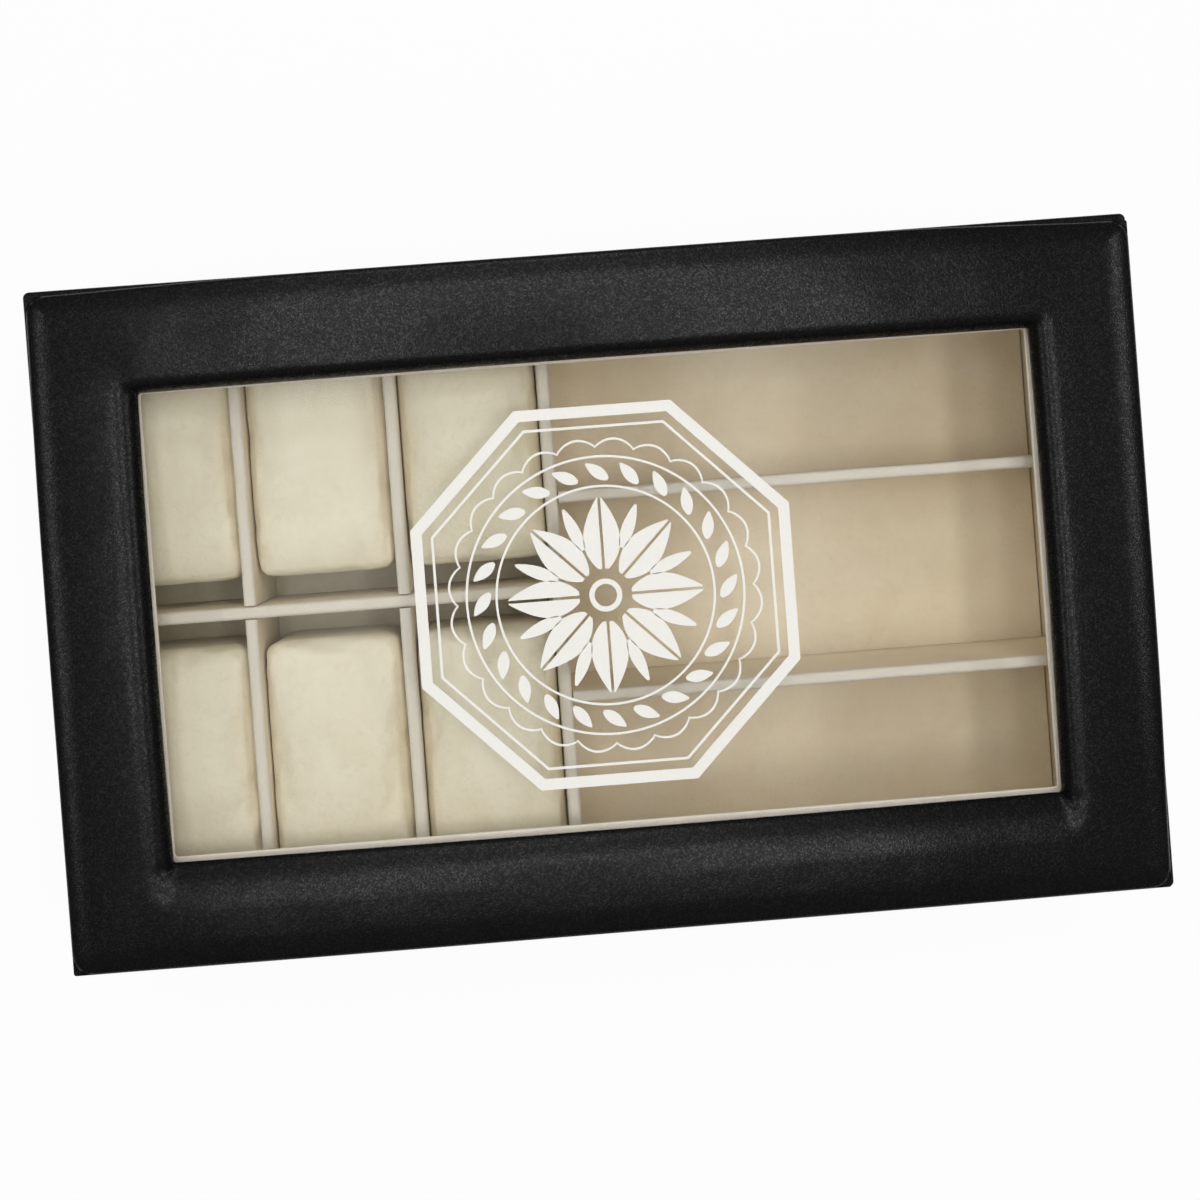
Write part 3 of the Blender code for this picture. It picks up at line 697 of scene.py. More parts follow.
@dataclass(frozen=True)
class WoolFelt(OneGrain):
    """Black pressed felt, fibres matted without a weave.

    It gives the eye a dull black with a pale fuzz where light grazes it. The
    fibres are drawn thicker than they are, so that they show.
    """

    name: str = "felt_pressed_black"
    low_colour: str = "#17171a"
    high_colour: str = "#2a2a2e"
    grain: float = 0.6 * MM
    grain_height: float = 0.12 * MM
    noise: Settings = (("Detail", 4.0), ("Roughness", 0.75), ("Distortion", 2.0))
    surface: Settings = (("Roughness", 0.97), ("Specular IOR Level", 0.1), ("Sheen Weight", 0.3),
                         ("Sheen Roughness", 0.6))


@dataclass(frozen=True)
class NickelPlate(Finish):
    """Stamped steel with a nickel plating.

    It gives the eye a warm grey metal with faint drawing lines along it, which
    are drawn wider than they are, so that they show.
    """

    name: str = "nickel_plated_steel"
    colour: str = "#c9c3b8"
    line: float = 0.25 * MM
    line_height: float = 0.01 * MM

    def shader(self, tree: bpy.types.NodeTree) -> bpy.types.Node:
        """Adds a roughness that wavers in lines along the leaf.

        Args:
            tree: the material's nodes.

        Returns:
            The node that ends the finish.
        """
        place = add_node(tree, "TexCoord").outputs["Object"]
        drawn = add_node(tree, "Mapping", {"Scale": (0.05, 1.0, 1.0), "Vector": place})
        lines = add_node(tree, "TexNoise", {"Scale": 1 / self.line, "Detail": 3.0, "Vector": drawn})
        dull = add_node(tree, "MapRange", {"To Min": 0.20, "To Max": 0.42, "Value": lines})
        bump = add_node(tree, "Bump", {"Strength": 0.3, "Distance": self.line_height, "Height": lines})
        return add_node(tree, "BsdfPrincipled", {"Base Color": linear(self.colour), "Metallic": 1.0,
                                                 "Roughness": dull, "Normal": bump})


@dataclass(frozen=True)
class StudioPaper(Finish):
    """Matt white background paper.

    It gives the eye a plain white ground that still keeps a soft shadow.
    """

    name: str = "studio_paper_white"
    colour: str = "#f4f4f4"
    glow: float = 0.93

    def shader(self, tree: bpy.types.NodeTree) -> bpy.types.Node:
        """Adds matt paper, with most of it white to the camera, mirrors and glass.

        Args:
            tree: the material's nodes.

        Returns:
            The node that ends the finish.
        """
        seen = add_node(tree, "LightPath").outputs
        either = add_node(tree, "Math", {"operation": "MAXIMUM", 0: seen["Is Camera Ray"],
                                         1: seen["Is Glossy Ray"]})
        any_way = add_node(tree, "Math", {"operation": "MAXIMUM", 0: either, 1: seen["Is Transmission Ray"]})
        part = add_node(tree, "Math", {"operation": "MULTIPLY", 0: any_way, 1: self.glow})
        paper = add_node(tree, "BsdfDiffuse", {"Color": linear(self.colour)})
        white = add_node(tree, "Emission", {"Color": (1, 1, 1, 1), "Strength": 1.0})
        return add_node(tree, "MixShader", {0: part, 1: paper, 2: white})


@dataclass
class Finishes:
    """One material of each finish, made once and shared."""

    leather: bpy.types.Material
    velveteen: bpy.types.Material
    board: bpy.types.Material
    lid: bpy.types.Material
    pillow: bpy.types.Material
    fibreboard: bpy.types.Material
    felt: bpy.types.Material
    glass: bpy.types.Material
    frost: bpy.types.Material
    nickel: bpy.types.Material

    @classmethod
    def mixed(cls) -> Finishes:
        """Makes all the materials.

        Returns:
            The materials by use.
        """
        # The boards' tops get a painted paler grey, standing for the direct light on them.
        board = Velveteen("velveteen_cream_board", painted_top_colour="#d6cfc0")
        lid = Velveteen("velveteen_cream_lid", "#ece3d2", "#ddd2bd", "#f2eadc")
        pillow = Velveteen("velveteen_cream_pillow", "#ded6bb", "#cabd9b", "#e6dfc9")
        finishes = (Leatherette(), Velveteen(), board, lid, pillow, Fibreboard(), WoolFelt(), FloatGlass(),
                    EtchedFrost(), NickelPlate())
        return cls(*(finish.material() for finish in finishes))


# Sub-assemblies


@dataclass
class Assembly:
    """Something that is built from meshes and dressed in the shared finishes."""

    finishes: Finishes

    def build(self) -> None:
        """Builds the meshes and dresses them."""
        raise NotImplementedError


@dataclass
class PaddedCover(Assembly):
    """Leatherette over foam round the window, drawn in to the rim and round under at the pane.

    Tables by corner go right back, right front, left back, left front, and
    tables by side go right, back, left, front.
    """

    window: Outline
    inset: float = 0.3 * MM
    corner_radius: float = 0.8 * MM
    pulled_x: Four = (0.1 * MM, 1.3 * MM, 0.9 * MM, 0.1 * MM)
    pulled_y: Four = (2.1 * MM, 0.3 * MM, 1.5 * MM, 0.2 * MM)
    pull_reach: float = 46 * MM
    pull_power: int = 8
    edge_height: float = 1.0 * MM
    shoulder_height: float = 3.2 * MM
    crowns: Four = (0.4 * MM, 0.9 * MM, 0.4 * MM, 0.7 * MM)
    outer_roll: float = 9.0 * MM
    inner_rolls: Four = (6.8 * MM, 5.4 * MM, 9.0 * MM, 14.0 * MM)
    inner_powers: Four = (3.0, 3.0, 3.0, 1.9)
    lip_powers: Four = (0.7, 0.65, 0.7, 0.8)
    lip_drops: Four = (0.0 * MM, 0.0 * MM, 0.3 * MM, 1.0 * MM)
    soft_corner: float = 6.0 * MM
    lip_width: float = 3.7 * MM
    lip_rise: float = 3.0 * MM
    lip_under: float = 1.1 * MM
    edge_tuck: float = 0.3 * MM
    turn_width: float = 8.3 * MM
    turn_radius: float = 0.3 * MM
    lip_seat: float = 2.8 * MM
    most_over: float = 0.3 * MM
    dimple_depths: Four = (0.15 * MM, 0.50 * MM, 0.15 * MM, 0.50 * MM)
    dimple_place: tuple[float, float] = (2.9 * MM, 0.8 * MM)
    dimple_radius: float = 1.4 * MM
    pleats: int = 13
    pleat_share: float = 0.13
    pleat_place: float = 2.0
    pleat_reach: float = 1.6
    uneven_power: float = 0.7
    swells: tuple[tuple[float, float, int], ...] = ((0.11 * MM, 44 * MM, 3), (0.035 * MM, 13 * MM, 4))
    rim_rows: int = 14
    flat_rows: int = 20
    window_rows: int = 22
    under_rows: int = 6

    def drawn_in(self, flat: Points, half: Points) -> Points:
        """Draws points in towards the middle near the outer corners.

        Each end of a side moves in by its own depth. The pull falls off along
        the side as a bell of the distance from the corner, and across it with
        the eighth power of the share of the half size.

        Args:
            flat: points whose last axis is x and y.
            half: the cover's half sizes.

        Returns:
            The moved points.
        """
        moved = flat.copy()
        for corner, pull_x, pull_y in zip(CORNERS, self.pulled_x, self.pulled_y):
            away = flat * corner
            near = np.clip(away / half, 0, 1) ** self.pull_power
            bell = np.exp(-((half - away) / self.pull_reach) ** 2)
            moved[..., 0] -= corner[0] * pull_x * near[..., 0] * bell[..., 1]
            moved[..., 1] -= corner[1] * pull_y * near[..., 1] * bell[..., 0]
        return moved

    def window_distance(self, flat: Points) -> tuple[np.ndarray, np.ndarray]:
        """Gives the distance from the window's edge as a share of the inner roll.

        The distance is that from a rectangle, with x and y each divided by the
        roll of the side that they lie towards, so the roll turns smoothly
        round the corners. The sides' shares are those of that distance.

        Args:
            flat: points whose last axis is x and y.

        Returns:
            Zero at the edge and one where the roll ends, and the share that
            each side's table entry has at the point.
        """
        x, y = flat[..., 0], flat[..., 1] - self.window.centre_y
        half_x, half_y = self.window.half_x, self.window.half_y
        bow_x = self.window.bows[0] * np.cos(math.pi / 2 * np.clip(y / half_y, -1, 1))
        bow_y = self.window.bows[1] * np.cos(math.pi / 2 * np.clip(x / half_x, -1, 1))
        right, back, left, front = self.inner_rolls
        beyond_x = np.maximum(np.abs(x) - half_x - bow_x, 0) / np.where(x > 0, right, left)
        beyond_y = np.maximum(np.abs(y) - half_y - bow_y, 0) / np.where(y > 0, back, front)
        share_x = (beyond_x + 1e-9) / (beyond_x + beyond_y + 2e-9)
        sides = np.stack((share_x * (x > 0), (1 - share_x) * (y > 0), share_x * (x <= 0),
                          (1 - share_x) * (y <= 0)), axis=-1)
        return np.hypot(beyond_x, beyond_y), sides

    def rim_distance(self, flat: Points, half: Points) -> np.ndarray:
        """Gives the distance in from the rim, with corners rounder than the rim's own.

        Args:
            flat: points whose last axis is x and y.
            half: the cover's half sizes.

        Returns:
            A distance at each point.
        """
        inside = half - np.abs(flat)
        short = np.maximum(self.soft_corner - inside, 0)
        deep = np.min(inside, axis=-1)
        turned = self.soft_corner - np.hypot(short[..., 0], short[..., 1])
        return np.maximum(np.where(deep > self.soft_corner, deep, turned), 0)

    def dimples(self, flat: Points) -> np.ndarray:
        """Gives how far the cover is drawn down near the window's corners.

        Each corner has a round hollow a little way out, a bell of the
        distance, with faint pleats that fan out from it and fade.

        Args:
            flat: points whose last axis is x and y.

        Returns:
            A depth at each point.
        """
        depth = np.zeros(flat.shape[:-1])
        for corner, deep in zip(CORNERS, self.dimple_depths):
            middle = np.array((self.window.half_x, self.window.half_y)) + self.dimple_place
            offset = flat - (middle * corner + (0, self.window.centre_y))
            distance = np.hypot(offset[..., 0], offset[..., 1])
            turn = np.arctan2(offset[..., 1], offset[..., 0])
            depth += deep * np.exp(-(distance / self.dimple_radius) ** 2)
            out = distance - self.pleat_place * self.dimple_radius
            fan = np.exp(-(out / (self.pleat_reach * self.dimple_radius)) ** 2)
            phase = self.pleats * turn + 3 * corner[0] + corner[1]
            depth += self.pleat_share * deep * np.sin(phase) * fan
        return depth

    def rows(self) -> tuple[np.ndarray, np.ndarray]:
        """Gives the rows of points over the top, close together at both edges.

        Returns:
            A share of the way from the rim to the window, and a length added
            to it, for each row.
        """
        fall, _ = quarter(self.rim_rows)
        flat = np.linspace(0, 1, self.flat_rows)[1:-1]
        _, reach = quarter(self.window_rows)
        widest = max(self.inner_rolls)
        share = np.concatenate((np.zeros(len(fall)), flat, np.ones(len(reach))))
        shift = np.concatenate((self.outer_roll * fall, self.outer_roll * (1 - flat) - widest * flat,
                                -widest * (1 - reach)))
        return share, shift

    def heights(self, flat: Points, drawn: Points, half: Points, bottom: float, lip: float) -> np.ndarray:
        """Gives the height over each point of the top.

        A quarter ellipse rises from the rim. From the lip rises a roll of one
        less the distance's share to one power, all to another, and a half
        sine between them crowns the pad. The hollows at the corners come off
        it, and a slow unevenness, as foam under a skin has, goes on.

        Args:
            flat: points before the corners are drawn in.
            drawn: the same points drawn in.
            half: the cover's half sizes.
            bottom: the height of the hem.
            lip: the height of the lip's underside.

        Returns:
            Heights.
        """
        near_window, sides = self.window_distance(drawn)
        near_rim = self.rim_distance(flat, half)
        shoulder, edge = bottom + self.shoulder_height, bottom + self.edge_height
        low = lip + self.lip_rise - sides @ self.lip_drops
        fall = (1 - np.minimum(near_window, 1)) ** (sides @ self.inner_powers)
        up_window = (1 - fall) ** (sides @ self.lip_powers)
        up_rim = np.sqrt(1 - (1 - np.minimum(near_rim / self.outer_roll, 1)) ** 2)
        across = near_window * np.mean(self.inner_rolls)
        way = across / np.maximum(across + near_rim, MM)
        points = np.concatenate((drawn, np.zeros((*drawn.shape[:-1], 1))), axis=-1)
        uneven = sum(height * ripple(points, length, seed) for height, length, seed in self.swells)
        soft = np.sin(math.pi * np.clip(way, 0, 1)) ** self.uneven_power
        height = low + (shoulder - low) * up_window - (shoulder - edge) * (1 - up_rim)
        height += (sides @ self.crowns) * np.sin(math.pi * way)
        return height + soft * (uneven - self.dimples(drawn))

    def grown_window(self, margin: float, bows: Four = (0.0, 0.0, 0.0, 0.0)) -> Points:
        """Lists the points of the window's outline, a margin further out.

        Args:
            margin: how much further out.
            bows: how far its sides bow.

        Returns:
            Points by axis x and y.
        """
        return Outline(self.window.half_x + margin, self.window.half_y + margin, self.window.radius + margin,
                       self.window.centre_y, bows).points(*CASE_STEPS)

    def build(self) -> None:
        """Builds the cover as one closed ring of leatherette and foam."""
        low, high = span("lid_padded_cover")
        frame_low, frame_high = span("lid_leather_wrap")
        rim = np.array((frame_high[0], (frame_high[1] - frame_low[1]) / 2))
        half = rim - self.inset
        outer = Outline(half[0], half[1], self.corner_radius).points(*CASE_STEPS)
        share, shift = self.rows()
        across = self.window.points(*CASE_STEPS) - outer
        inward = across / np.linalg.norm(across, axis=1, keepdims=True)
        flat = outer + across * share[:, None, None] + inward * shift[:, None, None]
        drawn = self.drawn_in(flat, half)
        bottom = frame_high[2] + self.edge_tuck
        level = np.minimum(self.heights(flat, drawn, half, bottom, low[2]), high[2] + self.most_over)
        rings = np.concatenate((drawn, level[..., None]), axis=-1)
        hem = at_height(self.drawn_in(outer + inward * self.edge_tuck, half), bottom)
        sill = level[-1]
        back, down = quarter(self.under_rows)
        under = []
        for margin, left in zip(self.lip_under * back[1:], 1 - down[1:]):
            line = self.grown_window(margin, self.window.bows)
            under.append(np.column_stack((line, low[2] + (sill - low[2]) * left)))
        lip = self.grown_window(self.lip_width)
        turn = Outline(*(rim - self.turn_width), self.turn_radius).points(*CASE_STEPS)
        seat = low[2] + self.lip_seat
        for line, height in ((lip, low[2]), (lip, seat), (turn, seat), (turn, bottom)):
            under.append(at_height(line, height))
        surface = loft(np.concatenate((hem[None], rings, np.stack(under))), closed=True)
        piece = make_piece("padded_cover_leather", surface, self.finishes.leather, "lid",
                           "lid_padded_cover")


@dataclass
class WrappedSkin(Assembly):
    """Leatherette drawn round four walls and folded in at both edges."""

    node: str
    body: str
    name: str
    bottom_turn: float
    top_turn: float
    thickness: float = 0.8 * MM
    edge_radius: float = 1.0 * MM
    corner_radius: float = 1.8 * MM
    least_radius: float = 0.3 * MM
    sunk: float = 0.025 * MM
    sunk_wave: float = 30 * MM
    sunk_seed: int = 8
    wall_share: float = 0.985
    lap: float = 7 * MM
    lap_height: float = 0.066 * MM
    lap_share: float = 0.98
    lap_slope: float = 100.0
    lap_power: float = 0.1
    arc_steps: int = 6
    wall_rows: int = 16
    hinge_x: float = 95 * MM
    hinge_half: float = 15.3 * MM
    hinge_reach: float = 1.8 * MM
    hinge_depth: float = 10.3 * MM

    def section(self, bottom: float, top: float) -> tuple[np.ndarray, np.ndarray]:
        """Gives the skin's section as depth inwards and height.

        From the lower fold the line runs out, turns a quarter circle up the
        wall, another quarter circle at the top, runs in along the upper fold,
        and comes back a skin's thickness inside.

        Args:
            bottom: the lowest height.
            top: the highest height.

        Returns:
            Depths and heights.
        """
        fall, rise = quarter(self.arc_steps)
        radius, inner = self.edge_radius, self.thickness
        wall = np.linspace(bottom + radius, top - radius, self.wall_rows)[1:-1]
        depth = np.concatenate(([self.bottom_turn] * 2, radius * (1 - rise), np.zeros(len(wall)),
                                radius * fall, [self.top_turn] * 2, [inner] * 2))
        height = np.concatenate(([bottom + inner, bottom], bottom + radius * fall, wall,
                                 top - radius + radius * rise, [top] + [top - inner] * 2, [bottom + inner]))
        return depth, height

    def build(self) -> None:
        """Builds the skin, with a lap joint at the back and cut back round the hinges.

        The walls sink by the absolute value of a slow ripple. The lap stands
        out with the tenth root of one less the share of its half width.
        """
        low, high = span(self.node)
        half = np.array((high[0], (high[1] - low[1]) / 2))
        depth, height = self.section(low[2], high[2])
        rings = []
        for inset, level in zip(depth, height):
            line = Outline(*(half - inset), max(self.corner_radius - inset, self.least_radius))
            rings.append(at_height(line.points(*CASE_STEPS), level))
        rings = np.stack(rings)
        outer = (depth < self.thickness / 2)[:, None]
        away = rings[..., :2] / half
        back = np.clip((away[..., 1] - self.lap_share) * self.lap_slope, 0, 1)
        beside = np.clip(1 - np.abs(rings[..., 0]) / self.lap, 0, 1) ** self.lap_power
        uneven = np.abs(self.sunk * ripple(rings, self.sunk_wave, self.sunk_seed) * outer)[..., None]
        rings[..., :2] -= np.sign(away) * (np.abs(away) > self.wall_share) * uneven
        rings[..., 1] += self.lap_height * back * beside * outer
        piece = make_piece(self.name, loft(rings, closed=True), self.finishes.leather, self.body,
                           self.node)
        for side in (-1, 1):
            self.cut_back(piece, side * self.hinge_x)

    def cut_back(self, piece: bpy.types.Object, centre_x: float) -> None:
        """Cuts the skin away round one hinge.

        Args:
            piece: the skin.
            centre_x: the hinge's middle.
        """
        axis = hinge_axis()
        xs = (centre_x - self.hinge_half, centre_x + self.hinge_half)
        ys = (axis.y - self.hinge_depth, axis.y + self.hinge_reach)
        outline = np.array([(xs[0], ys[0]), (xs[1], ys[0]), (xs[1], ys[1]), (xs[0], ys[1])])
        rings = np.stack([at_height(outline, axis.z + side * self.hinge_reach) for side in (-1, 1)])
        cutter = make_object("hinge_cut", loft(rings))
        cut = piece.modifiers.new("hinge_cut", "BOOLEAN")
        cut.object, cut.operation, cut.solver = cutter, "DIFFERENCE", "EXACT"
        apply_modifiers(piece)
        bpy.data.objects.remove(cutter, do_unlink=True)


@dataclass
class CoveredBoard(Assembly):
    """A card wrapped in velveteen, stood on edge, with a soft round top."""

    node: str
    seed: int
    body: str = "base"
    round_share: float = 0.30
    top_crown: float = 0.12 * MM
    foot: float = 0.6 * MM
    step: float = 1.2 * MM
    least_steps: int = 12
    top_sag: float = 0.07 * MM
    top_wave: float = 24 * MM
    side_waver: float = 0.06 * MM
    side_wave: float = 30 * MM
    waver_power: int = 4
    arc_steps: int = 6
    top_rows: int = 7
    wall_rows: int = 8

    def build(self) -> None:
        """Builds the board by carrying its section along its length.

        The section is a flat foot, two upright sides, a quarter circle at
        each upper edge and a barely crowned top between them. Along the
        board the top and the sides waver by less than a tenth of a
        millimetre, as cloth over card does, times the fourth power of the
        share of the height.
        """
        low, high = span(self.node)
        size = high - low
        run = 0 if size[0] > size[1] else 1
        half = size[1 - run] / 2
        radius = 2 * half * self.round_share
        fall, rise = quarter(self.arc_steps)
        flat = np.linspace(1, -1, self.top_rows)[1:-1]
        top_across = np.concatenate((half - radius * fall, (half - radius) * flat,
                                     radius * fall[::-1] - half))
        crown = self.top_crown * (1 - (top_across / half) ** 2)
        top_rise = np.concatenate((radius * rise, np.full(len(flat), radius), radius * rise[::-1])) + crown
        top_rise -= self.top_crown
        spring = high[2] - radius
        wall = low[2] + (spring - low[2]) * np.linspace(0, 1, self.wall_rows)[1:-1]
        across = np.concatenate(([half - self.foot, half], np.full(len(wall), half), top_across,
                                 np.full(len(wall), -half), [-half, self.foot - half]))
        rise = np.concatenate(([low[2], low[2] + self.foot], wall, spring + top_rise, wall[::-1],
                               [low[2] + self.foot, low[2]]))
        count = max(int(size[run] / self.step), self.least_steps)
        rings = np.empty((count, len(across), 3))
        rings[..., run] = np.linspace(low[run], high[run], count)[:, None]
        rings[..., 1 - run] = (low[1 - run] + high[1 - run]) / 2 + across
        rings[..., 2] = rise
        up = np.clip((rings[..., 2] - low[2]) / (high[2] - low[2]), 0, 1) ** self.waver_power
        rings[..., 2] += self.top_sag * (ripple(rings, self.top_wave, self.seed) - 1) * up
        rings[..., 1 - run] += self.side_waver * ripple(rings, self.side_wave, self.seed + 1) * up
        make_piece(f"{self.node}_cloth", loft(rings), self.finishes.board, self.body,
                   self.node)


@dataclass
class FloorPad(Assembly):
    """A thin card covered in velveteen, laid on the floor board."""

    node: str
    seed: int
    cloth: bpy.types.Material
    edge_radius: float = 0.4 * MM
    steps: tuple[int, int] = (90, 150)
    sag: float = 0.10 * MM
    sag_wave: float = 35 * MM
    sag_level: float = 1.2
    arc_steps: int = 5

    def build(self) -> None:
        """Builds the pad as a sheet of points whose border rolls down to the board.

        The height over the pad is its top, less the fall of a quarter circle
        within one radius of the border, and a slight unevenness.
        """
        low, high = span(self.node)
        radius = self.edge_radius
        _, rise = quarter(self.arc_steps)
        border = radius * (1 - rise[::-1])[:-1]
        axes = []
        for axis, steps in enumerate(self.steps):
            inner = np.linspace(low[axis] + radius, high[axis] - radius, steps)
            axes.append(np.concatenate((low[axis] + border, inner, high[axis] - border[::-1])))
        x, y = np.meshgrid(*axes, indexing="ij")
        edge = np.minimum.reduce((x - low[0], high[0] - x, y - low[1], high[1] - y, np.full(x.shape, radius)))
        drop = radius - np.sqrt(np.maximum(radius ** 2 - (radius - edge) ** 2, 0))
        points = np.stack((x, y, high[2] - drop), axis=-1)
        uneven = ripple(points, self.sag_wave, self.seed) - self.sag_level
        points[..., 2] += self.sag * uneven * (edge / radius)
        rows, columns, _ = points.shape
        flat = points.reshape(-1, 3)
        loop = border_loop(rows, columns)
        skirt = at_height(flat[loop, :2], low[2])
        here = np.arange(len(loop))
        after = np.roll(here, -1)
        wall = np.stack((loop, np.roll(loop, -1), len(flat) + after, len(flat) + here), axis=-1)
        middle = np.array([[*(low[:2] + high[:2]) / 2, low[2]]])
        centre = np.full(len(loop), len(flat) + len(loop))
        floor = np.stack((len(flat) + here, len(flat) + after, centre), axis=-1)
        quads = np.concatenate((grid_faces(rows, columns, False, False)[:, ::-1], wall[:, ::-1]))
        surface = Surface(np.concatenate((flat, skirt, middle)), quads, floor[:, ::-1]).outward()
        piece = make_piece(f"{self.node}_cloth", surface, self.cloth, "base", self.node)


@dataclass
class WatchPillow(Assembly):
    """A foam block covered in velveteen, plumped by a cloth simulation."""

    row: Row
    column: Column
    seed: int
    side_roll: float = 4.2 * MM
    front_roll: float = 18.0 * MM
    back_roll: float = 6.0 * MM
    corner_radius: float = 3.4 * MM
    top_corner_radius: float = 8.0 * MM
    shoulder_rise: float = 6.5 * MM
    crown: float = 3.0 * MM
    crown_shares: tuple[float, ...] = (0.88, 0.74, 0.58, 0.42, 0.26, 0.12)
    base_roll: float = 3.0 * MM
    draw_in: float = 1.2 * MM
    slack: float = 0.5 * MM
    side_slack: float = 0.1 * MM
    steps: tuple[int, int, int] = (44, 24, 8)
    foot_rows: int = 5
    side_rows: int = 8
    shoulder_rows: int = 9
    voxel: float = 1.7 * MM
    crease: float = 0.12 * MM
    crease_wave: float = 9 * MM
    quality: int = 5
    mass: float = 0.3
    shrink: float = -0.02
    pressure: float = 4.0
    frames: int = 20
    furthest: float = 0.9 * MM

    def ring(self, rolls: tuple[float, float, float], height: float, draw: float, half: Points,
             soft: float = 0.0) -> Points:
        """Gives one level outline, its long faces drawn in at mid length.

        The draw is greatest half way along and falls off with the square of
        the distance from there.

        Args:
            rolls: how far the long faces, the front end and the back end stand in.
            height: the height above the pillow's foot.
            draw: the share of the greatest draw.
            half: the pillow's half width and half length.
            soft: the share of the way from the body's corners to the rounder ones of the top.

        Returns:
            The ring's points about the middle of the pillow's foot.
        """
        radius = self.corner_radius + (self.top_corner_radius - self.corner_radius) * soft
        sides, front, back = rolls
        line = Outline(half[0] - sides, half[1] - (front + back) / 2, radius, (front - back) / 2)
        points = line.points(*self.steps)
        points[:, 0] -= np.sign(points[:, 0]) * self.draw_in * draw * (1 - (points[:, 1] / half[1]) ** 2)
        return at_height(points, height)

    def shape(self, low: Points, high: Points) -> Surface:
        """Lofts the block from its round foot over its sides to its crowned top.

        Args:
            low: the node's lowest corner.
            high: the node's highest corner.

        Returns:
            The closed block, a slack smaller than the node.
        """
        half = (high[:2] - low[:2]) / 2 - (self.side_slack, self.slack)
        tall = high[2] - low[2] - self.slack
        rings = []
        fall, rise = quarter(self.foot_rows)
        for inward, up in zip(1 - rise, fall):
            rings.append(self.ring((self.base_roll * inward,) * 3, self.base_roll * up, 0, half))
        shoulder = tall - self.crown - self.shoulder_rise
        for share in np.linspace(0, 1, self.side_rows)[1:-1]:
            height = self.base_roll + (shoulder - self.base_roll) * share
            rings.append(self.ring((0, 0, 0), height, math.sin(math.pi * share), half))
        for inward, up in zip(*quarter(self.shoulder_rows)):
            rolls = (self.side_roll * inward, self.front_roll * inward, self.back_roll * inward)
            rings.append(self.ring(rolls, shoulder + self.shoulder_rise * up, 0, half, up))
        top = rings[-1]
        middle = top.mean(axis=0) * (1, 1, 0)
        for share in self.crown_shares:
            crown = (top - middle) * (share, share, 1) + middle
            crown[:, 2] += self.crown * (1 - share ** 2)
            rings.append(crown)
        surface = loft(np.stack(rings))
        surface.points += (*(low[:2] + high[:2]) / 2, low[2])
        return surface

    def build(self) -> None:
        """Builds the pillow and plumps it."""
        name = f"pillow_{self.row.value}_{self.column.value}"
        node = f"watch_{name}"
        piece = make_piece(f"{name}_velveteen", self.shape(*span(node)), self.finishes.pillow, name,
                           node)
        self.plump(piece)

    def plump(self, piece: bpy.types.Object) -> None:
        """Remeshes the block and lets a cloth simulation swell and crease its cover.

        Each point moves no further than the cap from where the remesh left it.

        Args:
            piece: the pillow.
        """
        remesh = piece.modifiers.new("remesh", "REMESH")
        remesh.mode, remesh.voxel_size = "VOXEL", self.voxel
        apply_modifiers(piece)
        mesh = piece.data
        before = np.empty(len(mesh.vertices) * 3)
        mesh.vertices.foreach_get("co", before)
        after = np.empty_like(before)
        before = before.reshape(-1, 3)
        creased = before + self.crease * ripple(before, self.crease_wave, self.seed)[:, None]
        mesh.vertices.foreach_set("co", creased.ravel())
        cloth = piece.modifiers.new("cloth", "CLOTH").settings
        cloth.quality = self.quality
        cloth.mass = self.mass
        cloth.use_pressure = True
        cloth.uniform_pressure_force = self.pressure
        cloth.shrink_min = self.shrink
        cloth.effector_weights.gravity = 0
        scene = bpy.context.scene
        for step in range(self.frames):
            scene.frame_set(1 + step)
        graph = bpy.context.evaluated_depsgraph_get()
        piece.evaluated_get(graph).data.vertices.foreach_get("co", after)
        scene.frame_set(1)
        piece.modifiers.clear()
        move = after.reshape(-1, 3) - before
        far = np.linalg.norm(move, axis=1, keepdims=True)
        move *= np.minimum(1, self.furthest / np.maximum(far, 1e-9))
        mesh.vertices.foreach_set("co", (before + move).ravel())
        smooth = piece.modifiers.new("finer", "SUBSURF")
        smooth.levels = smooth.render_levels = 1
        apply_modifiers(piece)
        piece.data.shade_smooth()


@dataclass
class PaneRetainer(Assembly):
    """The covered ring that holds the pane from below."""

    overlap: float = 8.0 * MM
    gap: float = 0.3 * MM
    opening: Outline = Outline(134.85 * MM, 70.22 * MM, 0.9 * MM, -0.28 * MM)
    ledge: float = 1.2 * MM
    edge_radius: float = 0.4 * MM
    glass_corner: float = 1.5 * MM
    arc_steps: int = 4
    steps: tuple[int, int, int] = (110, 180, 8)

    def build(self) -> None:
        """Builds the ring: an outer wall, a rebate for the pane, and a soft-edged ledge."""
        low, high = span("glass_retainer")
        ledge_top = low[2] + self.ledge
        rebate = self.overlap + self.gap
        radius = self.edge_radius
        fall, rise = quarter(self.arc_steps)
        wall = Outline(high[0], high[1], self.gap).points(*self.steps)
        rings = [at_height(wall, low[2]), at_height(wall, high[2])]
        lines = [(rebate, high[2]), (rebate, ledge_top)]
        lines += [(radius * (1 - out), ledge_top - radius * down) for out, down in zip(rise, fall)]
        lines += [(radius * back, low[2] + radius * (1 - down)) for back, down in zip(fall, rise)]
        for margin, level in lines:
            corner = self.glass_corner if margin == rebate else self.opening.radius
            outline = Outline(self.opening.half_x + margin, self.opening.half_y + margin, corner,
                              self.opening.centre_y)
            rings.append(at_height(outline.points(*self.steps), level))
        make_piece("pane_retainer_cloth", loft(np.stack(rings), closed=True), self.finishes.lid, "lid",
                   "glass_retainer")


